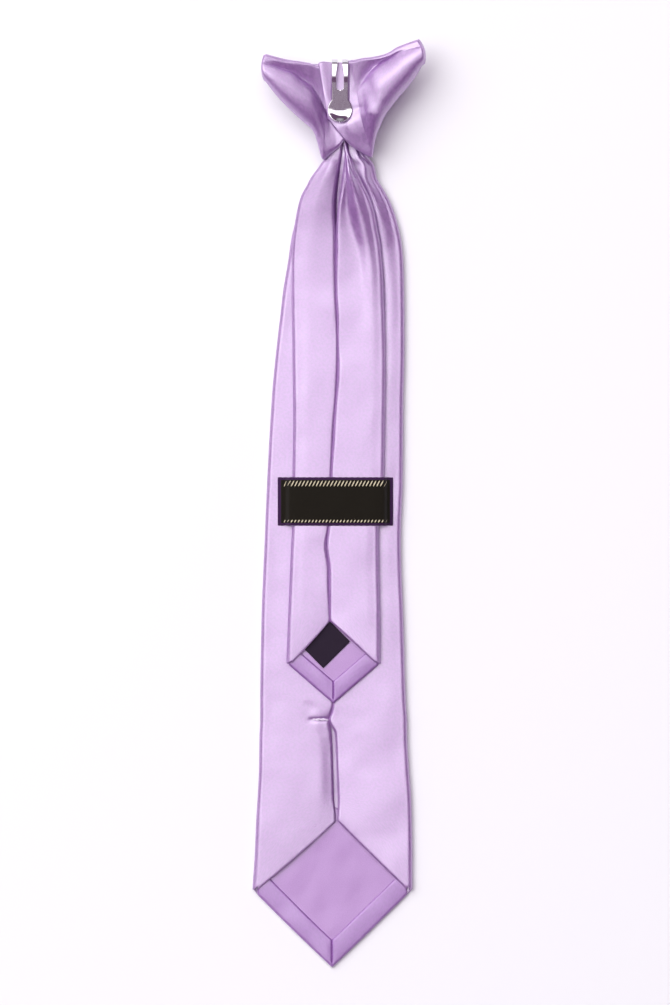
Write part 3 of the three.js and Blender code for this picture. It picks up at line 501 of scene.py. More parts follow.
satinMaterial = satinCloth("microfibre_satin", satin)
# The lining is a duller satin of the same dye. In the hems the same cloth lies turned, so its
# floats run the other way across the light and shine less; the hems' duller, recoloured copy of the
# satin paints that weaker sheen in as shade.
tippingLook = {**satin, "shade": "#8a52a0", "light": "#9a64ae", "specular": 0.5, "grain": 0.6}
tippingMaterial = satinCloth("lining_satin", tippingLook)
hemPaintedShadeLook = {**satin, "shade": "#7c4296", "light": "#8c50a5", "specular": 0.55}
hemPaintedShadeMaterial = satinCloth("microfibre_satin_turned_painted_shade", hemPaintedShadeLook)
# Name, dark and light side of the yarn, spacing in millimetres and roughness.
labelMaterial = wovenYarn("black_damask_weave", "#0b0906", "#1d1912", 0.55, 0.75)
backingMaterial = wovenYarn("plum_ribbon_weave", "#26102f", "#3d2049", 0.5, 0.6)
careMaterial = wovenYarn("black_satin_tape", "#140c18", "#2a1d30", 0.45, 0.5)
creamYarn = wovenYarn("cream_rayon_yarn", "#b9aa84", "#e6dcc0", 0.3, 0.55)
paleThread = wovenYarn("pale_sewing_thread", "#cdb6d8", "#f6eefa", 0.3, 0.45)
lilacThread = wovenYarn("lilac_sewing_thread", "#6d4585", "#a97fc0", 0.3, 0.5)
nickel = polishedNickel("polished_nickel_steel")
print("materials done")

# Blades
# An outline has a blade's edges and seam at places along it, and the width of the open lip. A
# relief has the heights of its back panels in folded depths, and the places of their rows.

bladeOutline = readTable(
    "along left right seam open",
    [
        [-0.031, -0.01, 0.0, 0.047, 0],
        [-0.012, 0.02, 0.03, 0.039, 0],
        [-0.002, 0.07, 0.08, 0.035, 0],
        [0.006, 0.13, 0.16, 0.03, 0],
        [0.015, 0.2, 0.2, 0.024, 0],
        [0.022, 0.27, 0.22, 0.019, 0],
        [0.037, 0.35, 0.34, 0.009, 0],
        [0.053, 0.42, 0.46, 0.004, 0],
        [0.074, 0.49, 0.57, -0.003, 0],
        [0.099, 0.55, 0.66, -0.007, 0],
        [0.124, 0.58, 0.71, -0.011, 0],
        [0.161, 0.64, 0.74, -0.013, 0],
        [0.198, 0.68, 0.76, -0.016, 0],
        [0.248, 0.74, 0.77, -0.022, 0],
        [0.297, 0.79, 0.76, -0.028, 0],
        [0.396, 0.86, 0.75, -0.034, 0],
        [0.471, 0.9, 0.72, -0.033, 0],
        [0.57, 0.95, 0.76, -0.032, 0],
        [0.673, 0.97, 0.8, -0.032, 0.06],
        [0.684, 0.97, 0.81, -0.041, 0.22],
        [0.694, 0.97, 0.82, -0.057, 0.06],
        [0.711, 0.98, 0.82, -0.031, 2.2],
        [0.756, 0.99, 0.85, -0.021, 2.4],
        [0.789, 1.01, 0.88, -0.016, 2.6],
        [0.814, 1.03, 0.89, -0.012, 1.4],
        [0.867, 1.06, 0.9, -0.012, 0.5],
        [0.903, 1.09, 0.9, -0.019, 0.43],
        [1.0, 1.13, 0.93, -0.022, 0.4],
    ],
)
reliefNames = (
    "along base leftEdge crown crownAt fall fallAt leftLip "
    "rightLip trough troughAt ridge ridgeAt rightEdge"
)
bladeRelief = readTable(
    reliefNames,
    [
        [-0.028, 1.0, 1.45, 1.6, 0.3, 1.6, 0.8, 1.5, 1.6, 1.6, 0.5, 1.6, 0.8, 1.4],
        [-0.003, 1.0, 1.5, 1.68, 0.3, 1.66, 0.8, 1.55, 1.66, 1.66, 0.5, 1.66, 0.8, 1.4],
        [0.008, 0.97, 1.4, 1.62, 0.3, 1.62, 0.8, 1.5, 1.6, 1.52, 0.5, 1.66, 0.8, 1.0],
        [0.021, 0.82, 1.35, 1.54, 0.3, 1.56, 0.8, 1.42, 1.54, 1.46, 0.5, 1.66, 0.76, 0.95],
        [0.05, 0.42, 1.22, 1.37, 0.3, 1.37, 0.8, 1.26, 1.35, 1.3, 0.56, 1.54, 0.76, 0.92],
        [0.087, 0.13, 1.09, 1.15, 0.3, 1.15, 0.8, 1.09, 1.15, 1.12, 0.6, 1.36, 0.78, 0.95],
        [0.124, 0, 1.0, 1.04, 0.3, 1.04, 0.8, 0.96, 1.04, 1.02, 0.64, 1.2, 0.8, 0.96],
        [0.173, 0, 0.96, 1.0, 0.3, 1.0, 0.8, 0.9, 1.0, 0.98, 0.7, 1.15, 0.86, 0.98],
        [0.248, 0, 0.95, 1.0, 0.3, 1.0, 0.8, 0.94, 1.0, 1.0, 0.7, 1.05, 0.86, 0.96],
        [0.673, 0, 0.95, 1.0, 0.3, 0.98, 0.8, 0.94, 1.0, 1.0, 0.3, 1.0, 0.8, 0.95],
        [0.694, 0, 0.95, 1.0, 0.3, 0.92, 0.8, 0.76, 0.88, 0.96, 0.25, 1.0, 0.7, 0.95],
        [0.757, 0, 0.95, 1.0, 0.3, 0.96, 0.8, 0.7, 0.94, 1.0, 0.25, 1.0, 0.7, 0.95],
        [0.82, 0, 0.95, 1.0, 0.3, 0.97, 0.8, 0.82, 0.97, 1.0, 0.25, 1.0, 0.7, 0.95],
        [1.0, 0, 0.95, 1.0, 0.3, 0.98, 0.8, 0.9, 1.0, 1.0, 0.3, 1.0, 0.8, 0.95],
    ],
)
tailOutline = readTable(
    "along left right seam open",
    [
        [-0.046, 0.05, -0.55, 0.065, 1],
        [-0.015, 0.07, -0.48, 0.057, 1.9],
        [-0.004, 0.18, -0.41, 0.05, 2.0],
        [0.007, 0.31, -0.32, 0.043, 2.2],
        [0.02, 0.45, -0.22, 0.033, 2.2],
        [0.033, 0.6, -0.08, 0.023, 2.2],
        [0.048, 0.72, 0.08, 0.012, 2.2],
        [0.07, 0.89, 0.31, -0.002, 1.8],
        [0.098, 0.98, 0.52, -0.018, 0.8],
        [0.129, 1.03, 0.66, -0.022, 0.1],
        [0.162, 1.06, 0.8, -0.022, 0],
        [0.225, 1.03, 0.93, -0.026, 0],
        [0.295, 1.0, 0.99, -0.011, 0],
        [0.376, 0.98, 1.02, -0.005, 0],
        [0.479, 0.96, 1.0, -0.042, 0],
        [0.578, 0.98, 0.98, -0.076, 0],
        [0.676, 1.0, 0.8, -0.103, 0],
        [0.711, 1.03, 0.8, -0.131, 0.6],
        [0.755, 1.06, 0.81, -0.1, 0.3],
        [0.834, 1.12, 0.84, -0.096, 0.2],
        [0.926, 1.18, 0.85, -0.07, 0.3],
        [1.0, 1.2, 0.87, -0.059, 0.4],
    ],
)
tailRelief = readTable(
    reliefNames,
    [
        [-0.041, 0, 0.78, 0.83, 0.3, 0.8, 0.8, 0.7, 0.8, 0.8, 0.3, 0.83, 0.7, 0.78],
        [-0.004, 0, 0.78, 0.83, 0.3, 0.78, 0.8, 0.6, 0.78, 0.78, 0.3, 0.83, 0.7, 0.78],
        [0.011, 0, 0.9, 1.1, 0.4, 0.9, 0.82, 0.58, 0.9, 0.92, 0.3, 1.2, 0.66, 0.9],
        [0.031, 0, 0.95, 1.2, 0.42, 1.0, 0.84, 0.58, 1.0, 1.02, 0.27, 1.48, 0.62, 0.95],
        [0.074, 0, 0.95, 1.2, 0.42, 1.05, 0.86, 0.6, 1.1, 0.95, 0.25, 1.45, 0.62, 0.95],
        [0.109, 0, 0.93, 1.14, 0.4, 1.02, 0.88, 0.66, 1.06, 0.9, 0.32, 1.35, 0.7, 0.95],
        [0.129, 0, 0.92, 1.1, 0.4, 1.0, 0.9, 0.8, 1.04, 0.88, 0.38, 1.3, 0.75, 0.95],
        [0.184, 0, 0.9, 1.03, 0.38, 0.99, 0.9, 0.88, 1.0, 0.9, 0.52, 1.15, 0.8, 0.94],
        [0.258, 0, 0.9, 1.01, 0.36, 0.99, 0.9, 0.93, 0.99, 0.95, 0.6, 1.04, 0.82, 0.93],
        [0.368, 0, 0.93, 1.0, 0.3, 0.98, 0.8, 0.95, 1.0, 1.0, 0.3, 1.0, 0.8, 0.93],
        [0.8, 0, 0.93, 1.0, 0.3, 0.98, 0.8, 0.95, 1.0, 1.0, 0.3, 1.0, 0.8, 0.93],
        [0.9, 0, 0.97, 1.0, 0.3, 1.0, 0.8, 1.0, 1.0, 1.0, 0.3, 1.0, 0.8, 0.97],
        [1.0, 0, 0.97, 1.0, 0.3, 1.0, 0.8, 1.0, 1.0, 1.0, 0.3, 1.0, 0.8, 0.97],
    ],
)
blade = {
    "length": 443.0,  # from the knot's foot to the point
    "width": 88.0,
    "pointRise": 42.8,  # from the point up to its corners
    "seamRise": 37.6,  # from the corners up to the seam's end
    "hem": 14.7,
    "outline": bladeOutline,
    "relief": bladeRelief,
    "squareEnd": 0.789,  # share of the length where the rows begin to lean over to the cut
    "dimple": 0.68,  # of the front at the knot, in folded depths
    "waves": (3, 60.0, 0.12),  # seed, span and height of the cloth's slow unevenness
}
tail = {
    "length": 298.0,
    "width": 51.0,
    "pointRise": 22.2,
    "seamRise": 23.0,
    "hem": 11.8,
    "outline": tailOutline,
    "relief": tailRelief,
    "squareEnd": 0.8,
    "dimple": 0.0,
    "waves": (5, 45.0, 0.1),
}
clip = {
    "centre": 0.8,  # right of the knot's foot
    "over": 0.4,  # the bend stands this far over the knot's top
    "wall": 0.8,
    "width": 8.9,
    "slot": 3.9,
    "slotTop": 0.62,  # width of the slot in the bend and at its widest, as shares of slot
    "slotFoot": 1.06,
    "disc": 13.6,  # round lip, across
    "reach": 34.4,  # from the bend to the lip's end
    "slotEnd": 17.0,  # from the bend to the slot's foot
    "leg": 20.0,  # from the bend to the end inside the knot
    "bend": 4.3,  # radius of the middle line
    "seat": 3.4,  # short flat below the bend
    "touch": 0.8,  # air under the lowest row
    "touchAt": 0.44,  # place of that row, as a share of the disc up from the lip's end
    "flare": 2.9,  # rise of the lip's end
    "dish": 0.7,  # rise of the lip's rim over its middle
}
# The knot's foot in the frame, from the point of the blade and the middle of the clip.
knotFoot = np.array(
    [
        (clipBox[0][0] + clipBox[1][0]) / 2 / mm - clip["centre"],
        bladeBox[0][1] / mm + blade["length"],
        0.0,
    ]
)


def bladeTop(along):
    # Height on which the tail lies, over the highest of the back's rows.
    names = ("leftEdge", "crown", "fall", "leftLip", "rightLip", "trough")
    rows = [smoothTrack(bladeRelief["along"], bladeRelief[name], along) for name in names]
    return bladeFloor(along) + np.max(rows, axis=0) * cloth["depth"]


def bladeFloor(along):
    # Height of the blade's underside: on the floor, and lifted into the knot near its foot.
    return throatFloor * smoothTrack(bladeRelief["along"], bladeRelief["base"], along)


def tailFloor(along):
    # The tail's underside, one ply over the blade at the same distance from the knot.
    return bladeTop(along * tail["length"] / blade["length"]) + cloth["ply"]


blade["floor"] = bladeFloor
tail["floor"] = tailFloor


def bladeEdges(strip, y):
    # Left and right edge, seam and open lip of a blade, at a distance from the knot's foot.
    along = -y / strip["length"]
    outline = strip["outline"]
    value = lambda name: smoothTrack(outline["along"], outline[name], along)
    lean = knot["lean"] * np.clip(1 - np.maximum(along, 0) / knot["leanFade"], 0, 1) ** 2
    spread = strip["width"] / 2 - throatHalf
    left = lean - throatHalf - value("left") * spread
    right = lean + throatHalf + value("right") * spread
    gap = cloth["lipGap"] + value("open") * cloth["wall"]
    return left, right, value("seam") * strip["width"], gap


def backHeight(strip, side, share, along):
    # Height of a back panel over the blade's floor, at a share of the way from fold to seam.
    relief = strip["relief"]
    value = lambda name: smoothTrack(relief["along"], relief[name], along)
    leftRows = (
        [0, value("crownAt"), value("fallAt"), 1],
        [value("leftEdge"), value("crown"), value("fall"), value("leftLip")],
    )
    rightRows = (
        [0, 1 - value("ridgeAt"), 1 - value("troughAt"), 1],
        [value("rightEdge"), value("ridge"), value("trough"), value("rightLip")],
    )
    share = np.broadcast_to(share, along.shape)
    leftHeight = stackedTrack(*leftRows, share)
    rightHeight = stackedTrack(*rightRows, share)
    return cloth["depth"] * np.where(side < 0, leftHeight, rightHeight)


def bladeColumns(back, fold, front):
    # The columns round a blade: back panel, fold, front panel, fold and back panel again. Cloth
    # is 0 in the middle of the front, 1 at a side fold and 2 at the seam.
    share = 1 - (1 - np.linspace(0, 1, back)[::-1]) ** 1.7  # crowded towards the seam
    share = np.where(share < 0.02, 0.02, share)
    turn = np.linspace(90, -90, fold)
    foldPlace = 1 + 0.05 * np.sin(np.radians(turn)) * (1 - np.cos(np.radians(turn)))
    width = np.linspace(0.04, 0.96, front)
    side = np.concatenate([-np.ones(back + fold), np.zeros(front), np.ones(back + fold)])
    kind = np.repeat([0, 1, 2, 1, 0], [back, fold, front, fold, back])
    shares = np.concatenate([share, 0 * turn, width, 0 * turn, share[::-1]])
    turns = np.concatenate([0 * share, turn, 0 * width, turn[::-1], 0 * share])
    place = np.concatenate(
        [1 + share, foldPlace, np.abs(2 * width - 1), foldPlace[::-1], 1 + share[::-1]]
    )
    return side, kind, shares, turns, place


def cutLine(strip, place):
    # How far up from the point the cut edge lies, at a place across the flat cloth.
    return np.minimum(place, 1) * strip["pointRise"] + np.maximum(0, place - 1) * strip["seamRise"]


def bladeSurface(strip, y, columns, extra):
    # Mid-surface of a folded blade. The back panels follow the relief rows, a side fold is half
    # an ellipse between the two layers, and the front lies flat with a dimple at the knot.
    side, kind, share, turn, _ = columns
    along = -y / strip["length"]
    left, right, seam, gap = bladeEdges(strip, y)
    floor = strip["floor"](along)
    low = floor + cloth["wall"] / 2
    edge = np.where(side < 0, left, right)
    top = floor + backHeight(strip, side, 0.0, along) - cloth["wall"] / 2
    roll = (top - low) / 2 * cloth["sideRoll"]
    foldX = edge - side * (cloth["wall"] / 2 + roll)
    angle = np.radians(turn)
    foldZ = mix(low, top, 0.5) + (top - low) / 2 * np.sin(angle)
    foldPoint = (foldX + side * roll * np.cos(angle), foldZ)
    frontX = mix(left, right, share)
    offMiddle = (frontX - mix(left, right, 0.5)) / (0.16 * (right - left))
    fade = np.clip(1 - np.maximum(0, along) / 0.12, 0, 1) ** 2
    frontPoint = (frontX, low + strip["dimple"] * cloth["depth"] * fade * np.exp(-(offMiddle**2)))
    lip = seam + side * gap / 2
    backX = mix(foldX, lip, share)
    toLip = (1 - share) * np.abs(lip - foldX)
    curl = 0.7 * cloth["wall"] * np.clip(1 - toLip / 1.3, 0, 1) ** 2
    backZ = floor + backHeight(strip, side, share, along) - cloth["wall"] / 2 - curl
    soft = smoothStep(0, 0.15, share) * smoothStep(0, 2.0, toLip)
    backZ = backZ + soft * (softWaves(backX, y, *strip["waves"]) + extra(backX, y, side))
    x = np.select([kind == 0, kind == 1], [backX, foldPoint[0]], frontX)
    z = np.select([kind == 0, kind == 1], [backZ, foldPoint[1]], frontPoint[1])
    return np.stack([x, y, z], axis=-1)


def foldedBlade(name, strip, bodyY, tipRows, counts, extra):
    # The whole blade: square rows down to where the point begins, then rows that lean over to
    # the cut edge. The last rows bend down a little, as a pressed edge does.
    columns = bladeColumns(*counts)
    place = columns[4]
    cutY = -strip["length"] + cutLine(strip, place) + np.where(columns[1] == 2, 1.2, 0)
    endY = -strip["squareEnd"] * strip["length"]
    square = np.broadcast_to(np.asarray(bodyY)[:, None], (len(bodyY), len(place)))
    share = 1 - (1 - np.linspace(0, 1, tipRows + 1)[1:]) ** 1.5
    leaning = mix(endY, cutY[None, :], share[:, None])
    y = np.concatenate([square, leaning])
    grid = bladeSurface(strip, y, columns, extra)
    press = np.clip(1 - (y - cutY[None, :]) / 1.5, 0, 1) ** 2
    grid[..., 2] -= np.where(columns[1] == 0, 0.35 * press, 0)
    return clothSheet(name, grid, cloth["wall"], satinMaterial)


def rowsBetween(*stretches):
    # Row places from (start, end, step) stretches, joined end to end.
    parts = [np.arange(start, end, -step) for start, end, step in stretches]
    return np.concatenate(parts)


tack = {"y": -307.0, "x0": -15.1, "x1": -5.2}  # bar tack beside the wide blade's seam
# Puckers that the bar tack draws into the left panel: start, end, width and height of each.
puckers = (
    ((tack["x0"] - 1, tack["y"]), (tack["x1"] + 1, tack["y"]), 0.9, -0.6, 0.1),  # under the thread
    ((-18, -298), (-8, -304.5), 2.2, -0.22),
    ((-14, -303), (-5, -303.5), 2.6, 0.24),
    ((-14, -310.5), (-4, -310), 2.8, 0.22),
    ((-6, -318), (-5.5, -308), 2.4, 0.2),
)


def bladePuckers(x, y, side):
    # Sum of the puckers, on the left panel alone.
    return np.where(side < 0, sum(lineBump(x, y, *pucker) for pucker in puckers), 0)


def noPuckers(x, y, side):
    return 0


bladeEnd = -blade["squareEnd"] * blade["length"]
bladeRows = rowsBetween(
    (13.5, -60, 0.9), (-60, -290, 2.4), (-290, -322, 0.7), (-322, bladeEnd, 2.0)
)
frontBlade = foldedBlade("front_blade_cloth", blade, bladeRows, 44, (34, 11, 26), bladePuckers)
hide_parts("front_blade")
tailRows = rowsBetween((13.0, -75, 0.8), (-75, -tail["squareEnd"] * tail["length"], 1.8))
tailBlade = foldedBlade("tail_blade_cloth", tail, tailRows, 40, (34, 11, 22), noPuckers)
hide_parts("tail_blade")
print("blades done")

# Hems, tippings and their stitches

hemShape = {
    "curl": 1.2,  # radius of the turned edge
    "top": 2.55,  # over the blade's floor
    "wall": 0.9,
    "mitre": 0.5,  # depth and width of the groove where the two limbs meet
    "mitreWidth": 0.45,
    "pillow": 0.28,  # swell between the edge and the stitched side
}
lining = {
    "wall": 0.6,
    "inset": 6.0,  # from the blade's side folds
    "under": 1.5,  # this far under the hem, and hidden up under the back panels
    "hidden": 4.0,
    "air": 0.25,
}


def pointPlace(strip, share, v):
    # A spot in the point: share runs from one corner (-1) to the other (1), v up from the cut.
    y = -strip["length"] + np.abs(share) * strip["pointRise"] + v
    left, right, _, _ = bladeEdges(strip, y)
    return mix(left, right, 0.5 + share / 2), y


def hemBand(name, strip, seed):
    # Mitred hem: a band beside the cut edge, rounded over it on the outside, with a groove at
    # the mitre and a soft pillow on each limb.
    half = np.linspace(0, 1, 60) ** 1.5 * 0.93
    share = np.concatenate([-half[:0:-1], half])
    curl, wall = hemShape["curl"], hemShape["wall"]
    turn = np.radians(np.array([112, 96, 80, 64, 48, 32, 16]))
    flat = np.linspace(0, 1, 22)
    top = strip["floor"](0.95) + hemShape["top"] - wall / 2
    start = curl + wall / 2
    v = np.concatenate([start - curl * np.sin(turn), mix(start, strip["hem"], flat)])
    drop = np.concatenate([curl * (1 - np.cos(turn)), 0 * flat])
    across = np.concatenate([0 * turn, flat])
    s, v2 = np.meshgrid(share, v, indexing="ij")
    x, y = pointPlace(strip, s, v2)
    middle, _ = pointPlace(strip, 0 * s, v2)
    off = np.abs(x - middle)
    groove = hemShape["mitre"] * np.exp(-((off / hemShape["mitreWidth"]) ** 2))
    pillow = hemShape["pillow"] * np.sin(math.pi * across[None, :]) * smoothStep(0, 4, off)
    z = top - drop[None, :] - groove * (across[None, :] > 0) + pillow
    z = z + softWaves(x, y, seed, 22.0, 0.1) * smoothStep(0, 3, off)
    z = z - 0.3 * np.clip((across[None, :] - 0.93) / 0.07, 0, 1) ** 2
    grid = np.stack([x, y, z], axis=-1)
    # The hem takes the duller copy of the satin, which is painted shade for the weaker sheen of its
    # turned floats.
    return clothSheet(name, grid, wall, hemPaintedShadeMaterial)


def tippingPanel(name, strip, seed):
    # Lining of the point: from beside the hem up to a line hidden under the back panels.
    wall = lining["wall"]
    share = np.linspace(-1, 1, 91) * (1 - lining["inset"] / (strip["width"] / 2))
    low = strip["hem"] - lining["under"]
    tall = strip["pointRise"] + strip["seamRise"] + 3.0 - strip["hem"] * 0.8
    rise = (1 - np.abs(share)) * tall
    up = np.linspace(0, 1, 80)
    s, t = np.meshgrid(share, up, indexing="ij")
    x, yLow = pointPlace(strip, s, low + 0 * s)
    y = yLow + (rise[:, None] + lining["hidden"]) * t
    z = strip["floor"](0.95) + cloth["wall"] + lining["air"] + wall / 2
    z = z + softWaves(x, y, seed, 24.0, 0.09)
    grid = np.stack([x, y, z], axis=-1)
    return clothSheet(name, grid, wall, tippingMaterial)


def mitreStitches(name, strip, seed):
    # Slip stitches across the mitre, a little uneven, each a short thread.
    rng = np.random.default_rng(seed)
    ys = np.arange(-strip["length"] + 3.0, -strip["length"] + strip["hem"] - 0.8, 1.55)
    top = strip["floor"](0.95) + hemShape["top"]
    lines = []
    for y in ys:
        middle, _ = pointPlace(strip, np.zeros(1), np.array([y + strip["length"]]))
        tilt = rng.uniform(0.35, 0.7)
        span = np.linspace(-0.55, 0.55, 7)
        z = top - 0.2 - 0.35 * (span / 0.55) ** 2
        lines.append(np.stack([middle + span * 0.9, y + span * tilt, z], axis=-1))
    return threadTube(name, lines, 0.17, lilacThread, sides=7)


hems, linings = {}, {}
for prefix, strip, seed in (("front", blade, 11), ("tail", tail, 17)):
    hem = hemBand(prefix + "_hem", strip, seed)
    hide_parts(prefix + "_blade")
    panel = tippingPanel(prefix + "_tipping_cloth", strip, seed + 1)
    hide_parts(prefix + "_tipping")
    hems[prefix], linings[prefix] = hem, panel
    mitreStitches(prefix + "_mitre_stitches", strip, seed + 2)

# Bar tack: three threads laid close together, each a little wavy, with its ends drawn down.
tackTop = cloth["depth"] * 0.9
tackLines = []
for n, (dy, dz) in enumerate(((-0.28, 0.0), (0.05, 0.12), (0.36, 0.0))):
    x = np.linspace(tack["x0"] + 0.5 * n, tack["x1"] - 0.7 * n, 40)
    y = tack["y"] + dy + 0.16 * np.sin(x * 2.3 + n)
    z = tackTop + dz + 0.12 * np.sin(x * 3.1 + 2 * n) - 0.25 * ((x + 10) / 6) ** 4
    tackLines.append(np.stack([x, y, z], axis=-1))
threadTube("bar_tack", tackLines, 0.24, paleThread, flat=0.8)
print("points done")

# Knot: front wrap and neck band


def wrapSurface():
    # U-shaped sheet round the front and sides of the knot: straight sides, quarter-round
    # corners, with its foot and its top edge turned in and a soft hollow above the foot.
    half = cloth["wrapWall"] / 2
    radius = knot["corner"] - half
    share = np.linspace(0, 1, 70)[:, None]
    turn = np.radians(np.linspace(0, 90, 14))
    y = mix(knot["footRise"], knot["height"] - knot["bandInset"], share)
    wide = mix(knot["footWidth"], knot["topWidth"], share) / 2 - half
    lift = 0.9 * ((1 - smoothStep(0, 0.05, share)) + smoothStep(0.95, 1, share))
    wallZ = np.linspace(backLevel - 2 * cloth["seat"], knot["corner"], 12)[:-1]
    sideX = wide - lift + 0 * wallZ
    cornerX = wide - lift - radius + radius * np.cos(turn)
    cornerZ = knot["corner"] - (radius - lift) * np.sin(turn)
    flat = np.linspace(1, -1, 40)[1:-1] * (wide - lift - radius)
    hollow = 0.9 * np.exp(-((flat / 5.5) ** 2)) * np.exp(-(((share - 0.1) / 0.22) ** 2))
    wallZ = wallZ + 0 * share
    x = np.concatenate([-sideX, -cornerX, -flat, cornerX[:, ::-1], sideX[:, ::-1]], axis=1)
    x = x + mix(knot["lean"], knot["lean"] * 0.85, share)
    front = half + lift + hollow
    z = np.concatenate([wallZ, cornerZ, front, cornerZ[:, ::-1], wallZ[:, ::-1]], axis=1)
    return np.stack([x, y + 0 * x, z], axis=-1)


wrapGrid = wrapSurface()
wrapPiece = clothSheet(
    "knot_wrap_cloth", wrapGrid, cloth["wrapWall"], satinMaterial
)
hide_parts("knot_wrap")


def bandSurface():
    # Fold that closes the knot's top: front layer, half-round top edge and back layer.
    wall = cloth["wall"]
    front = cloth["wrapWall"] + cloth["seat"] + wall / 2
    back = backLevel - 2 * cloth["seat"] - clip["wall"] - wall / 2
    radius = (back - front) / 2
    topY = knot["height"] - knot["bandInset"] - wall
    lowY = knot["height"] * 0.36
    turn = np.radians(np.linspace(-90, 90, 25))
    straight = np.linspace(lowY, topY - radius, 20)[:-1]
    y = np.concatenate([straight, topY - radius + radius * np.cos(turn), straight[::-1]])
    edge = mix(front, back, 0.5) + radius * np.sin(turn)
    z = np.concatenate([front + 0 * straight, edge, back + 0 * straight])
    share = (y - knot["footRise"]) / (knot["height"] - knot["bandInset"] - knot["footRise"])
    inside = cloth["wrapWall"] + knot["corner"] * 0.95
    wide = mix(knot["footWidth"], knot["topWidth"], share) / 2 - inside
    x = knot["lean"] * 0.88 + np.linspace(-1, 1, 40)[:, None] * wide
    return np.stack([x, y + 0 * x, z + 0 * x], axis=-1)


bandGrid = bandSurface()
bandPiece = clothSheet("neck_band_cloth", bandGrid, cloth["wall"], satinMaterial)
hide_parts("neck_band")

# Wings
# Rows run from a wing's outer end to its flap. The outline has both ends of each row, and the
# section its rises and the radius, the turn in degrees and the hem of each rolled edge.

wing = {
    "span": 89.5,  # across both wings: 1 in the outlines' x, as the knot's height is in their y
    "height": 8.5,  # 1 in the sections' rises and rolls
    "shoulderRun": 0.07,  # from crease to shoulder, as a share of the row
}
wingOutline = "topX topY lowX lowY bow"
wingSection = (
    "topRise creaseAt creaseRise shoulderRise crestAt crestRise lowRise "
    "topRoll topTurn topHem lowRoll lowTurn lowHem"
)
leftWingOutline = readTable(
    wingOutline,
    [
        [-0.453, 1.051, -0.453, 0.79, -0.014],
        [-0.441, 1.057, -0.441, 0.775, -0.02],
        [-0.39, 1.035, -0.378, 0.643, 0],
        [-0.31, 1.003, -0.291, 0.493, 0],
        [-0.236, 0.987, -0.218, 0.382, 0],
        [-0.175, 0.968, -0.156, 0.291, 0],
        [-0.135, 0.942, -0.138, 0.232, 0],
        [-0.101, 0.93, -0.12, 0.134, 0],
        [-0.077, 0.93, -0.092, -0.006, 0],
        [-0.034, 0.93, -0.052, 0.046, 0],
        [0.009, 0.93, -0.011, 0.099, 0],
        [0.046, 0.93, 0.029, 0.178, 0],
    ],
)
leftWingSection = readTable(
    wingSection,
    [
        [0.42, 0.2, 0.45, 0.47, 0.5, 0.52, 0.42, 0.02, 180, 0.08, 0.02, 90, 0.1],
        [0.62, 0.2, 0.72, 0.78, 0.5, 0.86, 0.5, 0.13, 180, 0.09, 0.11, 90, 0.11],
        [0.56, 0.18, 0.52, 0.76, 0.5, 0.92, 0.42, 0.12, 180, 0.12, 0.13, 90, 0.18],
        [0.42, 0.17, 0.34, 0.66, 0.5, 0.88, 0.36, 0.08, 180, 0.16, 0.14, 90, 0.22],
        [0.3, 0.26, 0.12, 0.54, 0.5, 0.78, 0.3, 0.05, 180, 0.16, 0.13, 90, 0.22],
        [0.22, 0.32, -0.02, 0.42, 0.5, 0.64, 0.24, 0.03, 180, 0.12, 0.12, 80, 0.12],
        [0.14, 0.37, -0.1, 0.32, 0.52, 0.5, 0.16, 0.01, 180, 0.08, 0.1, 40, 0.1],
        [0.1, 0.4, -0.14, 0.2, 0.56, 0.36, 0.1, 0, 180, 0.06, 0.08, 0, 0.12],
        [0.06, 0.42, -0.12, 0.1, 0.62, 0.22, 0.04, 0, 180, 0.06, 0.03, 5, 0.035],
        [0, 0.62, 0, 0.01, 0.86, 0.1, 0.02, 0, 180, 0.06, 0, 80, 0.04],
        [0, 0.72, 0, 0, 0.88, 0.02, 0, 0, 180, 0.06, 0, 90, 0.09],
        [0, 0.72, 0, 0, 0.88, 0, 0, 0, 180, 0.06, 0, 90, 0.09],
    ],
)
rightWingOutline = readTable(
    wingOutline,
    [
        [0.489, 1.21, 0.524, 0.958, 0.018],
        [0.474, 1.2, 0.51, 0.94, 0.018],
        [0.408, 1.162, 0.485, 0.868, 0],
        [0.353, 1.124, 0.43, 0.74, 0],
        [0.31, 1.078, 0.371, 0.63, 0],
        [0.261, 1.048, 0.322, 0.526, 0],
        [0.206, 1.03, 0.281, 0.432, 0],
        [0.15, 1.019, 0.25, 0.327, 0],
        [0.107, 1.0, 0.227, 0.233, 0],
        [0.083, 0.99, 0.214, 0.124, 0],
        [0.064, 0.986, 0.201, 0.019, 0],
        [0.04, 0.98, 0.138, 0.07, 0],
        [-0.003, 0.98, 0.074, 0.14, 0],
        [-0.046, 0.98, 0.031, 0.214, 0],
        [-0.089, 0.98, -0.021, 0.316, 0],
        [-0.118, 0.965, -0.064, 0.413, 0],
    ],
)
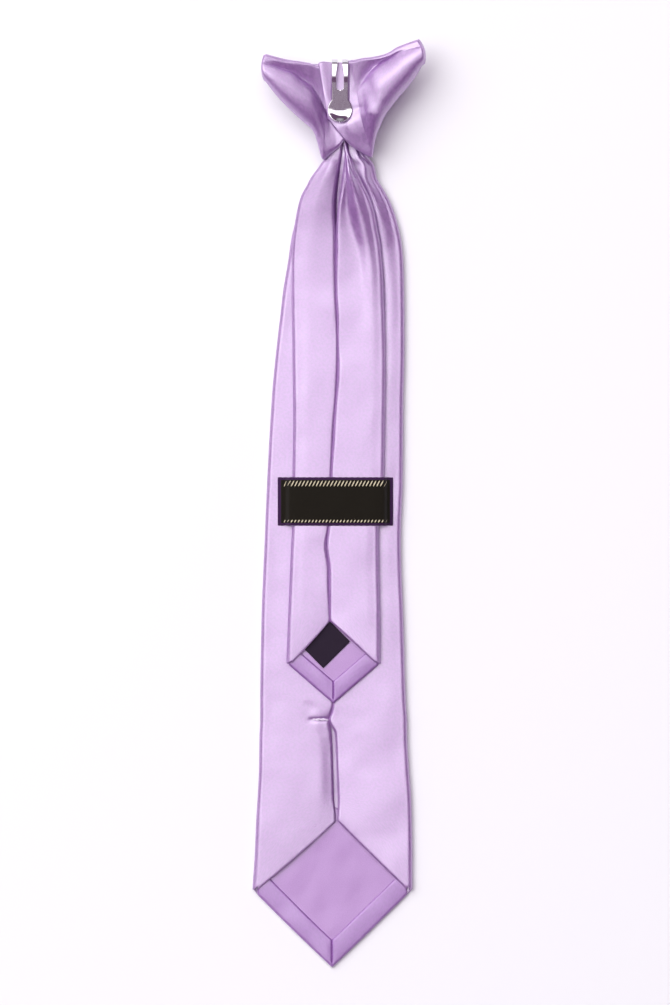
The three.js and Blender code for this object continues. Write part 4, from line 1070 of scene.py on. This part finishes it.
rightWingSection = readTable(
    wingSection,
    [
        [0.4, 0.14, 0.42, 0.46, 0.42, 0.5, 0.4, 0.02, 180, 0.08, 0.02, 90, 0.1],
        [0.6, 0.14, 0.68, 0.76, 0.42, 0.84, 0.48, 0.13, 180, 0.09, 0.11, 90, 0.11],
        [0.56, 0.1, 0.6, 0.68, 0.5, 0.88, 0.36, 0.13, 180, 0.12, 0.13, 90, 0.16],
        [0.46, 0.06, 0.42, 0.54, 0.5, 0.88, 0.3, 0.1, 180, 0.14, 0.14, 90, 0.2],
        [0.36, 0.05, 0.2, 0.42, 0.5, 0.86, 0.25, 0.07, 180, 0.16, 0.14, 90, 0.22],
        [0.26, 0.07, 0.04, 0.34, 0.5, 0.82, 0.22, 0.05, 180, 0.16, 0.13, 90, 0.22],
        [0.22, 0.14, -0.06, 0.36, 0.48, 0.76, 0.18, 0.04, 180, 0.14, 0.12, 90, 0.16],
        [0.22, 0.22, -0.02, 0.26, 0.5, 0.58, 0.1, 0.03, 160, 0.08, 0.11, 30, 0.06],
        [0.22, 0.27, 0.04, 0.2, 0.5, 0.4, -0.02, 0.02, 120, 0.04, 0.1, 5, 0.12],
        [0.2, 0.29, 0.06, 0.14, 0.42, 0.2, -0.18, 0, 60, 0.01, 0.08, 0, 0.13],
        [0.14, 0.31, 0.04, 0.06, 0.34, 0.03, -0.26, -0.03, 40, 0.003, 0.03, 8, 0.045],
        [0.07, 0.34, 0.02, 0.02, 0.3, 0.0, -0.18, -0.03, 40, 0.003, 0, 80, 0.04],
        [0.06, 0.36, 0, 0, 0.4, 0.03, -0.06, -0.03, 40, 0.003, -0.02, 40, 0.02],
        [0.06, 0.36, 0, 0, 0.7, 0.05, 0.06, -0.03, 40, 0.003, -0.04, 5, 0.003],
        [0.05, 0.36, 0, 0, 0.7, 0.06, 0.08, -0.03, 40, 0.003, -0.04, 5, 0.003],
        [0.04, 0.36, 0, 0, 0.7, 0.04, 0.06, -0.03, 40, 0.003, -0.04, 5, 0.003],
    ],
)


def wingSurface(outline, section, level, rowCount, lineCount):
    # Mid-surface of a wing and its flap. Each row runs from the top edge over crease, shoulder
    # and crest to the low edge, and both edges turn under on an arc before a short hem.
    wall = cloth["wall"]
    radius = (wall + cloth["ply"]) / 2
    table = {**outline, **section}
    rows = np.arange(len(table["bow"]))
    at = np.linspace(0, rows[-1], rowCount)
    row = {name: smoothTrack(rows, table[name], at) for name in table}
    top = np.stack([row["topX"] * wing["span"], row["topY"] * knot["height"]], axis=-1)
    low = np.stack([row["lowX"] * wing["span"], row["lowY"] * knot["height"]], axis=-1)
    length = np.linalg.norm(low - top, axis=1)
    down = (low - top) / length[:, None]
    span = length - wall
    height = lambda rise: level + rise * wing["height"]
    topRadius = radius + row["topRoll"] * wing["height"]
    lowRadius = radius + row["lowRoll"] * wing["height"]
    line = []  # (share of the way down the row, height) of each point, as arrays over the rows
    topTurn = np.radians(row["topTurn"])
    topZ = height(row["topRise"])
    arc = lambda turn: (topRadius * (1 - np.sin(turn)), topZ - topRadius * (1 - np.cos(turn)))
    endBack, endZ = arc(topTurn)
    for share in (1, 0.5, 0.12):
        run = share * row["topHem"] * knot["height"]
        line.append(((endBack - np.cos(topTurn) * run) / span, endZ - np.sin(topTurn) * run))
    for share in (1, 0.75, 0.5, 0.25):
        back, z = arc(topTurn * share)
        line.append((back / span, z))
    start = topRadius / span
    line.append((start, topZ))
    creaseAt = mix(start, 1, row["creaseAt"])
    line.append((mix(start, creaseAt, 0.5), height(mix(row["topRise"], row["creaseRise"], 0.5))))
    line.append((creaseAt, height(row["creaseRise"])))
    shoulderAt = creaseAt + wing["shoulderRun"]
    line.append((shoulderAt, height(row["shoulderRise"])))
    crestAt = mix(shoulderAt, 1, row["crestAt"] - 0.1)
    climb = mix(row["shoulderRise"], row["crestRise"], 0.72)
    line.append((mix(shoulderAt, crestAt, 0.5), height(climb)))
    crestZ = height(row["crestRise"])
    line.append((crestAt, crestZ))
    lowZ = height(row["lowRise"]) - lowRadius
    for turn in np.radians([25, 48, 70, 90]):
        line.append((mix(crestAt, 1, math.sin(turn)), mix(lowZ, crestZ, math.cos(turn))))
    lowTurn = np.radians(row["lowTurn"])
    for share in (0.5, 1):
        turn = lowTurn * share
        line.append((1 - lowRadius * (1 - np.cos(turn)) / span, lowZ - lowRadius * np.sin(turn)))
    backFrom = lowRadius * (1 - np.cos(lowTurn))
    for share in (0.12, 0.5, 1):
        run = share * row["lowHem"] * knot["height"]
        v = 1 - (backFrom + np.sin(lowTurn) * run) / span
        line.append((v, lowZ - lowRadius * np.sin(lowTurn) - np.cos(lowTurn) * run))
    v = np.stack([place for place, _ in line], axis=1)
    z = np.stack([rise for _, rise in line], axis=1)
    bow = row["bow"][:, None] * wing["span"] * 4 * v * (1 - v)
    x = top[:, :1] + down[:, :1] * (wall / 2 + v * span[:, None]) + bow
    y = top[:, 1:] + down[:, 1:] * (wall / 2 + v * span[:, None])
    return throughPoints(np.stack([x, y, z], axis=-1), lineCount)


def addRelief(grid, relief):
    # Moves a surface along its normals by a height that depends on where it is seen from above.
    normals = gridNormals(grid)
    normals = normals * np.sign(np.sum(normals[..., 2]))
    facing = np.clip(normals[..., 2:], 0, 1)
    return grid + normals * facing * relief(grid[..., 0], grid[..., 1])[..., None]


def leftRelief(x, y):
    # Slow unevenness alone.
    return softWaves(x, y, 23, 26.0, 0.14)


# Small folds that run out from the round lip of the clip: angle, length and height.
lipFolds = ((-60, 10, 0.1), (-34, 14, 0.16), (-8, 18, 0.3), (16, 18, 0.3))
foldStart = 6.0  # from the middle of the lip
# Broad ridges of the right flap: start and end from the middle of the lip, width on the left and
# on the right of the line, and height.
flapRidges = (
    ((1, -10), (21, 2), 3.0, 9.0, 1.7),  # from under the lip out to the right
    ((-12.3, 33.2), (-6.3, -4), 4.5, 1.0, 1.1),  # rolled edge of the strap
    ((5, 35.2), (5.5, 4), 5.0, 1.0, 1.0),  # beside the clip
    ((10, 6.5), (14.5, -15.5), 2.0, 7.0, 0.7),  # foot of the wing's roll
)


def rightRelief(x, y):
    # The slow unevenness with the folds and ridges added to it.
    discY = knot["height"] + clip["over"] - clip["reach"] + clip["disc"] / 2
    middle = np.array([clip["centre"], discY])
    relief = softWaves(x, y, 29, 26.0, 0.14)
    for angle, length, rise in lipFolds:
        out = np.array([math.cos(math.radians(angle)), math.sin(math.radians(angle))])
        start, end = middle + foldStart * out, middle + (foldStart + length) * out
        relief = relief + lineBump(x, y, start, end, 2.0, rise, 0.35)
    for start, end, left, right, rise in flapRidges:
        relief = relief + lineBump(x, y, middle + start, middle + end, left, rise, 0.2, right)
    return relief


leftMiddle = wingSurface(leftWingOutline, leftWingSection, leftLevel, 130, 120)
leftGrid = addRelief(leftMiddle, leftRelief)
leftPiece = clothSheet("left_wing_cloth", leftGrid, cloth["wall"], satinMaterial)
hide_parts("left_wing")
rightMiddle = wingSurface(rightWingOutline, rightWingSection, rightLevel, 150, 120)
rightGrid = addRelief(rightMiddle, rightRelief)
rightPiece = clothSheet("right_wing_cloth", rightGrid, cloth["wall"], satinMaterial)
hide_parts("right_wing")
print("knot and wings done")

# Clip

lipCount = 45  # rows of the strip in its round lip


def clipSurface():
    # The strip's middle line runs up the inner leg, round the bend, along a short flat seat, down
    # a slope that eases out towards the cloth, and up the lip. Rows crowd where the slot and the
    # lip are round, and the outline gives the inner and outer half width of each row.
    apexY = knot["height"] + clip["over"]
    bendY = apexY - clip["bend"] - clip["wall"] / 2
    seatY = bendY - clip["seat"]
    legZ = backLevel - cloth["seat"] - clip["wall"] / 2
    tongueTop = legZ + 2 * clip["bend"]
    lipY = apexY - clip["reach"]
    ring = clip["disc"] / 2
    discY = lipY + ring
    touchY = lipY + clip["disc"] * clip["touchAt"]
    touchZ = rightLevel + cloth["wall"] / 2 + clip["touch"] + clip["wall"] / 2
    half = clip["slot"] / 2
    slotY = apexY - clip["slotEnd"] + half
    turn = np.radians(np.linspace(-90, 90, 41))
    legY = np.linspace(apexY - clip["leg"], bendY, 20)[:-1]
    roundSlot = slotY - half * np.sin(np.radians(np.linspace(0, 90, 16)))
    tongueY = np.unique(np.concatenate([np.linspace(touchY, bendY, 44)[:-1], roundSlot]))[::-1]
    steps = [0, 0.8, 0.86, 0.92, 0.97, 1]  # shares of the slope and of its fall: straight,
    falls = [0, 0.8, 0.88, 0.95, 0.99, 1]  # then easing into the seat
    places = [mix(touchY, seatY, step) for step in steps] + [bendY]
    levels = [mix(touchZ, tongueTop, fall) for fall in falls] + [tongueTop]
    tongueZ = np.interp(tongueY, places, levels)
    lipAngle = np.linspace(math.asin((discY - touchY) / ring), math.pi / 2, lipCount + 1)[1:]
    lipRows = discY - ring * np.sin(lipAngle)
    share = (touchY - lipRows) / (touchY - lipY)
    y = np.concatenate([legY, bendY + clip["bend"] * np.cos(turn), tongueY, lipRows])
    bendZ = legZ + clip["bend"] * (1 + np.sin(turn))
    lipZ = touchZ + clip["flare"] * 0.72 * share**2
    z = np.concatenate([legZ + 0 * legY, bendZ, tongueZ, lipZ])
    isLeg = np.arange(len(y)) < len(legY) + len(turn) // 2
    inDisc = np.sqrt(np.clip(ring**2 - (y - discY) ** 2, 0, None))
    halfWidth = clip["width"] / 2
    outer = np.where(isLeg, halfWidth, np.where(y < discY, inDisc, np.maximum(halfWidth, inDisc)))
    opened = half * mix(clip["slotTop"], clip["slotFoot"], smoothStep(1.5, 9.0, apexY - y))
    under = np.clip(slotY - y, 0, None)
    rounded = clip["slotFoot"] * np.sqrt(np.clip(half**2 - under**2, 0, None))
    inner = np.where(isLeg, half * clip["slotTop"], np.where(y > slotY, opened, rounded))
    return y, z, outer, inner, discY


def buildClip():
    # Both halves of the strip as grids from its slot or centre line out to its edge, on the top
    # and on the underside, with walls along every free edge. The lip rises round its lower rim.
    y, z, outer, inner, discY = clipSurface()
    across = np.linspace(0, 1, 13)
    count = len(y)
    along = np.stack([np.gradient(y), np.gradient(z)], axis=-1)
    along /= np.linalg.norm(along, axis=1, keepdims=True)
    normalY, normalZ = along[:, 1], -along[:, 0]
    points, faces = [], []
    total = 0
    for side in (-1, 1):
        x = side * mix(inner[:, None], outer[:, None], across[None, :])
        yy = np.broadcast_to(y[:, None], x.shape)
        onLip = np.arange(count) > count - lipCount - 15  # with the last rows of the slope
        r = np.hypot(x, yy - discY) / (clip["disc"] / 2)
        dish = smoothStep(0.35, 1.0, r) * (1 - smoothStep(-3.5, 0.5, yy - discY))
        lift = np.where(onLip[:, None], clip["dish"] * dish, 0)
        for level in (1, -1):
            offset = level * clip["wall"] / 2
            py = yy + normalY[:, None] * offset
            pz = z[:, None] + lift + normalZ[:, None] * offset
            points.append(np.stack([x + clip["centre"], py, pz], axis=-1).reshape(-1, 3))
            quads = gridFaces(count, len(across), total)
            faces.append(quads if side * level > 0 else quads[:, ::-1])
            total += x.size
        topStart, lowStart = total - 2 * x.size, total - x.size
        i = np.arange(count - 1) * len(across)
        last = len(across) - 1
        for column, needed in ((last, np.ones(count - 1, bool)), (0, (inner[:-1] + inner[1:]) > 0)):
            a = i[needed] + column
            b = a + len(across)
            wall = np.stack([topStart + a, topStart + b, lowStart + b, lowStart + a], axis=1)
            faces.append(wall if (side > 0) == (column == last) else wall[:, ::-1])
        j = np.arange(last)
        for row in (0, count - 1):
            a = row * len(across) + j
            b = a + 1
            wall = np.stack([topStart + a, topStart + b, lowStart + b, lowStart + a], axis=1)
            faces.append(wall)
    mesh = bpy.data.meshes.new("spring_clip_steel")
    allPoints = (np.concatenate(points) + knotFoot) * mm
    mesh.from_pydata(allPoints.tolist(), [], np.concatenate(faces).tolist())
    return mesh


# The halves are joined and every sharp edge is broken a little, as tumbled stampings are.
clipMesh = buildClip()
work = bmesh.new()
work.from_mesh(clipMesh)
bmesh.ops.remove_doubles(work, verts=work.verts, dist=0.02 * mm)
bmesh.ops.dissolve_degenerate(work, edges=work.edges, dist=0.01 * mm)
bmesh.ops.recalc_face_normals(work, faces=work.faces)
joined = [edge for edge in work.edges if len(edge.link_faces) == 2]
sharp = [edge for edge in joined if edge.calc_face_angle() > math.radians(50)]
edgeBreak = 0.14 * mm
bmesh.ops.bevel(
    work, geom=sharp, offset=edgeBreak, segments=2, affect="EDGES", clamp_overlap=True
)
bmesh.ops.recalc_face_normals(work, faces=work.faces)
work.to_mesh(clipMesh)
work.free()
clipPiece = addPiece("spring_clip_steel", clipMesh, nickel)
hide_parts("spring_clip")
print("clip done")

# Labels

label = {
    "width": 62.8,
    "height": 26.0,
    "along": 0.423,  # share of the wide blade's length
    "shift": -1.7,  # its middle, from the knot's foot
    "wall": 0.6,  # of the ribbon behind
    "faceWall": 0.5,
    "inset": 1.7,  # the black face ends this far inside the ribbon's ends
    "edge": 1.35,  # and this far inside its long sides
    "hatchPitch": 1.9,
    "hatchEnd": 1.6,  # bare face beyond the first and the last bar
}


def labelPath():
    # Height of the ribbon across the tie: low on the wide blade, up over the tail and down.
    y = -label["along"] * blade["length"]
    left, right, _, _ = bladeEdges(tail, np.array([y]))
    left, right = float(left[0]), float(right[0])
    tailTop = float(tailFloor(np.array([-y / tail["length"]]))[0]) + cloth["depth"]
    low = cloth["depth"] + cloth["seat"]
    high = tailTop + cloth["seat"] + 0.1
    start = label["shift"] - label["width"] / 2
    end = label["shift"] + label["width"] / 2
    climb = mix(low, high, 0.86)
    turns = (
        (start, low),
        (mix(start, left, 0.45), low + 0.1),
        (left - 1.1, climb),
        (left + 4.5, high),
        (mix(left, right, 0.5), high + 0.25),
        (right - 4.5, high),
        (right + 1.1, climb),
        (mix(end, right, 0.45), low + 0.5),
        (end, low),
    )
    places, heights = zip(*turns)
    return y, start, end, lambda x: smoothTrack(places, heights, x)


def labelWaves(x, v):
    # Slow unevenness that ribbon, face and hatch bars share.
    return softWaves(x, v, 41, 18.0, 0.08)


def labelSurface(inset, edge, lift, wobble):
    # Strip over the label's path, from its ends less inset and its sides less edge, with its
    # long sides a little wavy.
    y, start, end, heightAt = labelPath()
    x = np.linspace(start + inset, end - inset, 150)
    v = np.linspace(-0.5, 0.5, 40) * (label["height"] - 2 * edge)
    gx, gv = np.meshgrid(x, v, indexing="xy")
    z = heightAt(gx) + lift + labelWaves(gx, gv)
    ragged = wobble * np.sin(gx * 1.9) * (np.abs(gv) > label["height"] / 2 - edge - 1)
    return np.stack([gx, y + gv + ragged, z], axis=-1)


ribbonGrid = labelSurface(0, 0, label["wall"] / 2, 0.06)
ribbon = clothSheet(
    "keeper_ribbon", ribbonGrid, label["wall"], backingMaterial
)
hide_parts("keeper_label")
faceLift = label["wall"] + 0.1 + label["faceWall"] / 2
faceGrid = labelSurface(label["inset"], label["edge"], faceLift, 0.03)
labelFace = clothSheet(
    "keeper_label_face", faceGrid, label["faceWall"], labelMaterial
)
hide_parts("keeper_label")


def hatchBars(name, centreV, rise, lean):
    # Row of slanted cream floats across the label, each a short flat thread.
    y, start, end, heightAt = labelPath()
    first = start + label["inset"] + label["hatchEnd"]
    last = end - label["inset"] - label["hatchEnd"] - lean
    count = int((last - first) / label["hatchPitch"])
    t = np.linspace(0, 1, 6)
    x = first + np.arange(count + 1)[:, None] * (last - first) / count + lean * t
    v = centreV + rise * (t - 0.5) + 0 * x
    z = heightAt(x) + faceLift + label["faceWall"] / 2 + 0.03 + labelWaves(x, v)
    lines = np.stack([x, y + v, z], axis=-1)
    return threadTube(name, lines, 0.3, creamYarn, 6, 0.35, 0.5)


# Place from the label's middle, height and lean of each row of bars.
hatchBars("label_hatch_top", label["height"] / 2 - 3.2, 2.9, 1.5)
hatchBars("label_hatch_foot", -label["height"] / 2 + 2.2, 1.3, 0.75)

care = {
    "width": 17.0,
    "length": 20.4,
    "wall": 0.45,
    "turn": 45.0,
    "aside": 0.085,  # left of the tail's middle, as a share of the tail's width
    "up": 0.94,  # above the hem, as a share of the point's rise
    "air": 0.35,
}


def careSurface():
    # Flat tape turned by 45 degrees on the tail's lining.
    across = np.linspace(-0.5, 0.5, 50) * care["length"]
    down = np.linspace(-0.5, 0.5, 40) * care["width"]
    u, v = np.meshgrid(across, down, indexing="xy")
    turn = math.radians(care["turn"])
    left, right, _, _ = bladeEdges(tail, np.array([-tail["length"]]))
    middleX = (left + right) / 2 - tail["width"] * care["aside"]
    middleY = -tail["length"] + tail["hem"] + care["up"] * tail["pointRise"]
    x = middleX + u * math.cos(turn) - v * math.sin(turn)
    y = middleY + u * math.sin(turn) + v * math.cos(turn)
    z = tailFloor(0.9) + 2 * cloth["wall"] + care["air"] + care["wall"] / 2
    return np.stack([x, y, z + softWaves(x, y, 47, 12.0, 0.05)], axis=-1)


careTape = clothSheet("care_tape", careSurface(), care["wall"], careMaterial)
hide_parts("care_label")
print("labels done")
# Floor, lights and camera

# Matt white paper: no gloss, and a soft grey shadow.
paper = {"half": 3.0, "level": -0.0003, "colour": "#efeef1", "roughness": 0.85}
half, level = paper["half"], paper["level"]
floorMesh = bpy.data.meshes.new("floor")
floorMesh.from_pydata(
    [(-half, -half, level), (half, -half, level), (half, half, level), (-half, half, level)],
    [],
    [(0, 1, 2, 3)],
)
floorMaterial, floorTree, floorShader = newMaterial("white_paper")
floorShader.inputs["Base Color"].default_value = srgb(paper["colour"])
floorShader.inputs["Roughness"].default_value = paper["roughness"]
floorMesh.materials.append(floorMaterial)
floor = bpy.data.objects.new("floor", floorMesh)
bpy.context.scene.collection.objects.link(floor)

# Scrim over the upper left: it shades the floor and gives no hard gloss on the folds.
scrim = {"place": (-0.95, 0.65, 1.3), "size": (1.8, 1.6), "power": 18}
lampData = bpy.data.lights.new("key", "AREA")
lampData.shape = "RECTANGLE"
lampData.size, lampData.size_y = scrim["size"]
lampData.energy = scrim["power"]
lamp = bpy.data.objects.new("key", lampData)
lamp.location = scrim["place"]
lamp.rotation_euler = (-Vector(scrim["place"])).to_track_quat("-Z", "Y").to_euler()
lamp.visible_glossy = False
bpy.context.scene.collection.objects.link(lamp)

# Studio ceiling: one broad white diffuser leaning to the upper left, a dim room round it
# and a pale skirt of paper at the horizon.
ceiling = {
    "lean": (-0.25, 0.36, 0.9),  # towards its middle
    "edge": 0.79,  # cosine of the angle from there to where it ends
    "core": 0.9,  # and to where it is fully white
    "white": "#ffffff",
    "room": "#463347",  # beside the diffuser
    "roomFar": "#382b3a",
    "skirt": "#a6a2aa",
    "strength": 2.75,
}
world = bpy.data.worlds.new("studio")
bpy.context.scene.world = world
world.use_nodes = True
worldTree = world.node_tree
direction = addNode(worldTree, "ShaderNodeTexCoord")
facing = addNode(
    worldTree,
    "ShaderNodeVectorMath",
    {"operation": "DOT_PRODUCT"},
    {1: ceiling["lean"]},
    {0: direction.outputs["Generated"]},
)
sky = addNode(worldTree, "ShaderNodeValToRGB", None, None, {"Fac": facing.outputs["Value"]})
fillRamp(
    sky,
    [
        (0.0, srgb(ceiling["roomFar"])),
        (ceiling["edge"], srgb(ceiling["room"])),
        (ceiling["core"], srgb(ceiling["white"])),
    ],
)
split = addNode(
    worldTree, "ShaderNodeSeparateXYZ", None, None, {"Vector": direction.outputs["Generated"]}
)
skirt = addNode(worldTree, "ShaderNodeValToRGB", None, None, {"Fac": split.outputs["Z"]})
fillRamp(skirt, [(0.12, srgb(ceiling["skirt"])), (0.34, srgb("#000000"))])
together = addNode(
    worldTree,
    "ShaderNodeMix",
    {"data_type": "RGBA", "blend_type": "LIGHTEN"},
    {0: 1.0},
    {6: sky.outputs["Color"], 7: skirt.outputs["Color"]},
)
background = worldTree.nodes["Background"]
background.inputs["Strength"].default_value = ceiling["strength"]
worldTree.links.new(together.outputs[2], background.inputs["Color"])

scene = bpy.context.scene
scene.view_settings.view_transform = "Standard"
scene.view_settings.look = "None"
scene.view_settings.exposure = 0.0

pixel = 508 / 925.6  # millimetres of floor in one pixel of the photograph
frameSize = (670, 1005)
footPixel = (338.5, 160.0)  # the knot's foot in the photograph
camera = bpy.data.cameras.new("camera")
eye = bpy.data.objects.new("camera", camera)
scene.collection.objects.link(eye)
scene.camera = eye
distance = 5.0
eye.location = (
    (knotFoot[0] + (frameSize[0] / 2 - footPixel[0]) * pixel) * mm,
    (knotFoot[1] + (footPixel[1] - frameSize[1] / 2) * pixel) * mm,
    distance,
)
camera.sensor_width = 36.0
camera.lens = camera.sensor_width * distance / (frameSize[1] * pixel * mm)
camera.clip_end = 50.0
print("stage done")
